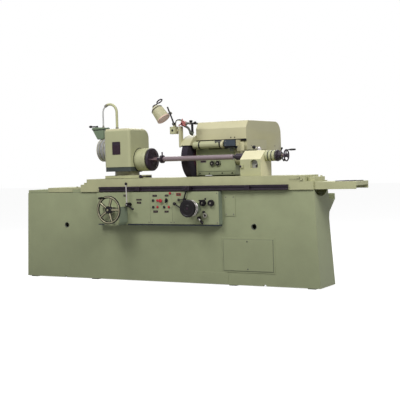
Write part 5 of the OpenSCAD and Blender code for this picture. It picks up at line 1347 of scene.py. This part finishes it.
class GRINDER_OT_dials(Piece, Operator):
    """Feed dial, dwell dial and valve knob"""

    bl_idname = "grinder.dials"
    bl_label = "Dials"

    def build(self, scene):
        for name, body, x, z in (("feed_dial", "feed_knob", 492, 704),
                                 ("dwell_dial", "dwell_knob", 572, 702)):
            bm = bmesh.new()
            lathe(bm, (x, -60, z), -Y, [
                (5.9, -4), (5.9, 0.3), (28, 0.3), (28, 7), (26.5, 9), (26.5, 22), (24.5, 25.4), (18, 26),
                (16, 24.5), (0, 24.5),
            ], 0, 64)
            knurl(bm, (x, FACE, z), X, Z, 30, 26.4, -Y * 9, -Y * 23, 1.6, 0, 6)
            knurl(bm, (x, FACE, z), X, Z, 20, 28, -Y * 2, -Y * 6.4, 0.6, 1, 4)
            rod(bm, (x, -83, z), (x, -86, z), 7, mat=1, seg=24)
            if name == "feed_dial":
                block(bm, (464, 526), (-92, -85), (718, 730), 0)
                ball(bm, (526, -86, 738), 8.5, 0, seg=20)
            remade(name, body, bm, "black alloy", "dark_plastic", 0.001)
        bm = bmesh.new()
        p = Vector((514, -60.3, 598))
        lathe(bm, p, -Y, [(5.9, -4), (5.9, 0), (14, 0), (14, 12), (9, 18), (0, 19)], 0, 32)
        hoop(bm, (514, -79, 598), Y, 15, 5.6, 1, 40, 12)
        tube(bm, [(514, -74, 598), (507, -74, 612), (501, -74, 623)], 5.4, 0)
        ball(bm, (500, -74, 626), 12, 0)
        remade("valve_knob", "valve", bm, "black alloy", "dark_plastic")


# ---------------------------------------------------------------- panel and run

OPERATORS = (
    GRINDER_OT_stage, GRINDER_OT_bed, GRINDER_OT_aprons, GRINDER_OT_switches, GRINDER_OT_table,
    GRINDER_OT_headstock, GRINDER_OT_headstock_motor, GRINDER_OT_work, GRINDER_OT_tailstock,
    GRINDER_OT_wheelhead, GRINDER_OT_hood, GRINDER_OT_wheel, GRINDER_OT_internal_spindle, GRINDER_OT_coolant,
    GRINDER_OT_lamp, GRINDER_OT_table_handwheel, GRINDER_OT_cross_handwheel, GRINDER_OT_levers,
    GRINDER_OT_dials,
)


class GRINDER_PT_pieces(Panel):
    """Lists the grinder's settings and pieces"""

    bl_idname = "GRINDER_PT_pieces"
    bl_label = "Cylindrical Grinder"
    bl_space_type = "VIEW_3D"
    bl_region_type = "UI"
    bl_category = "Grinder"

    def draw(self, context):
        column = self.layout.column()
        for settings in (context.scene.grinder_paint, context.scene.grinder_detail):
            for name in settings.__annotations__:
                column.prop(settings, name)
        for operator in OPERATORS:
            column.operator(operator.bl_idname)


CLASSES = (GrinderPaint, GrinderDetail, *OPERATORS, GRINDER_PT_pieces)


def register():
    for cls in CLASSES:
        bpy.utils.register_class(cls)
    bpy.types.Scene.grinder_paint = PointerProperty(type=GrinderPaint)
    bpy.types.Scene.grinder_detail = PointerProperty(type=GrinderDetail)


def unregister():
    del bpy.types.Scene.grinder_detail
    del bpy.types.Scene.grinder_paint
    for cls in reversed(CLASSES):
        bpy.utils.unregister_class(cls)


def main():
    register()
    for operator in OPERATORS:
        group, name = operator.bl_idname.split(".")
        getattr(getattr(bpy.ops, group), name)()


if __name__ == "__main__":
    main()
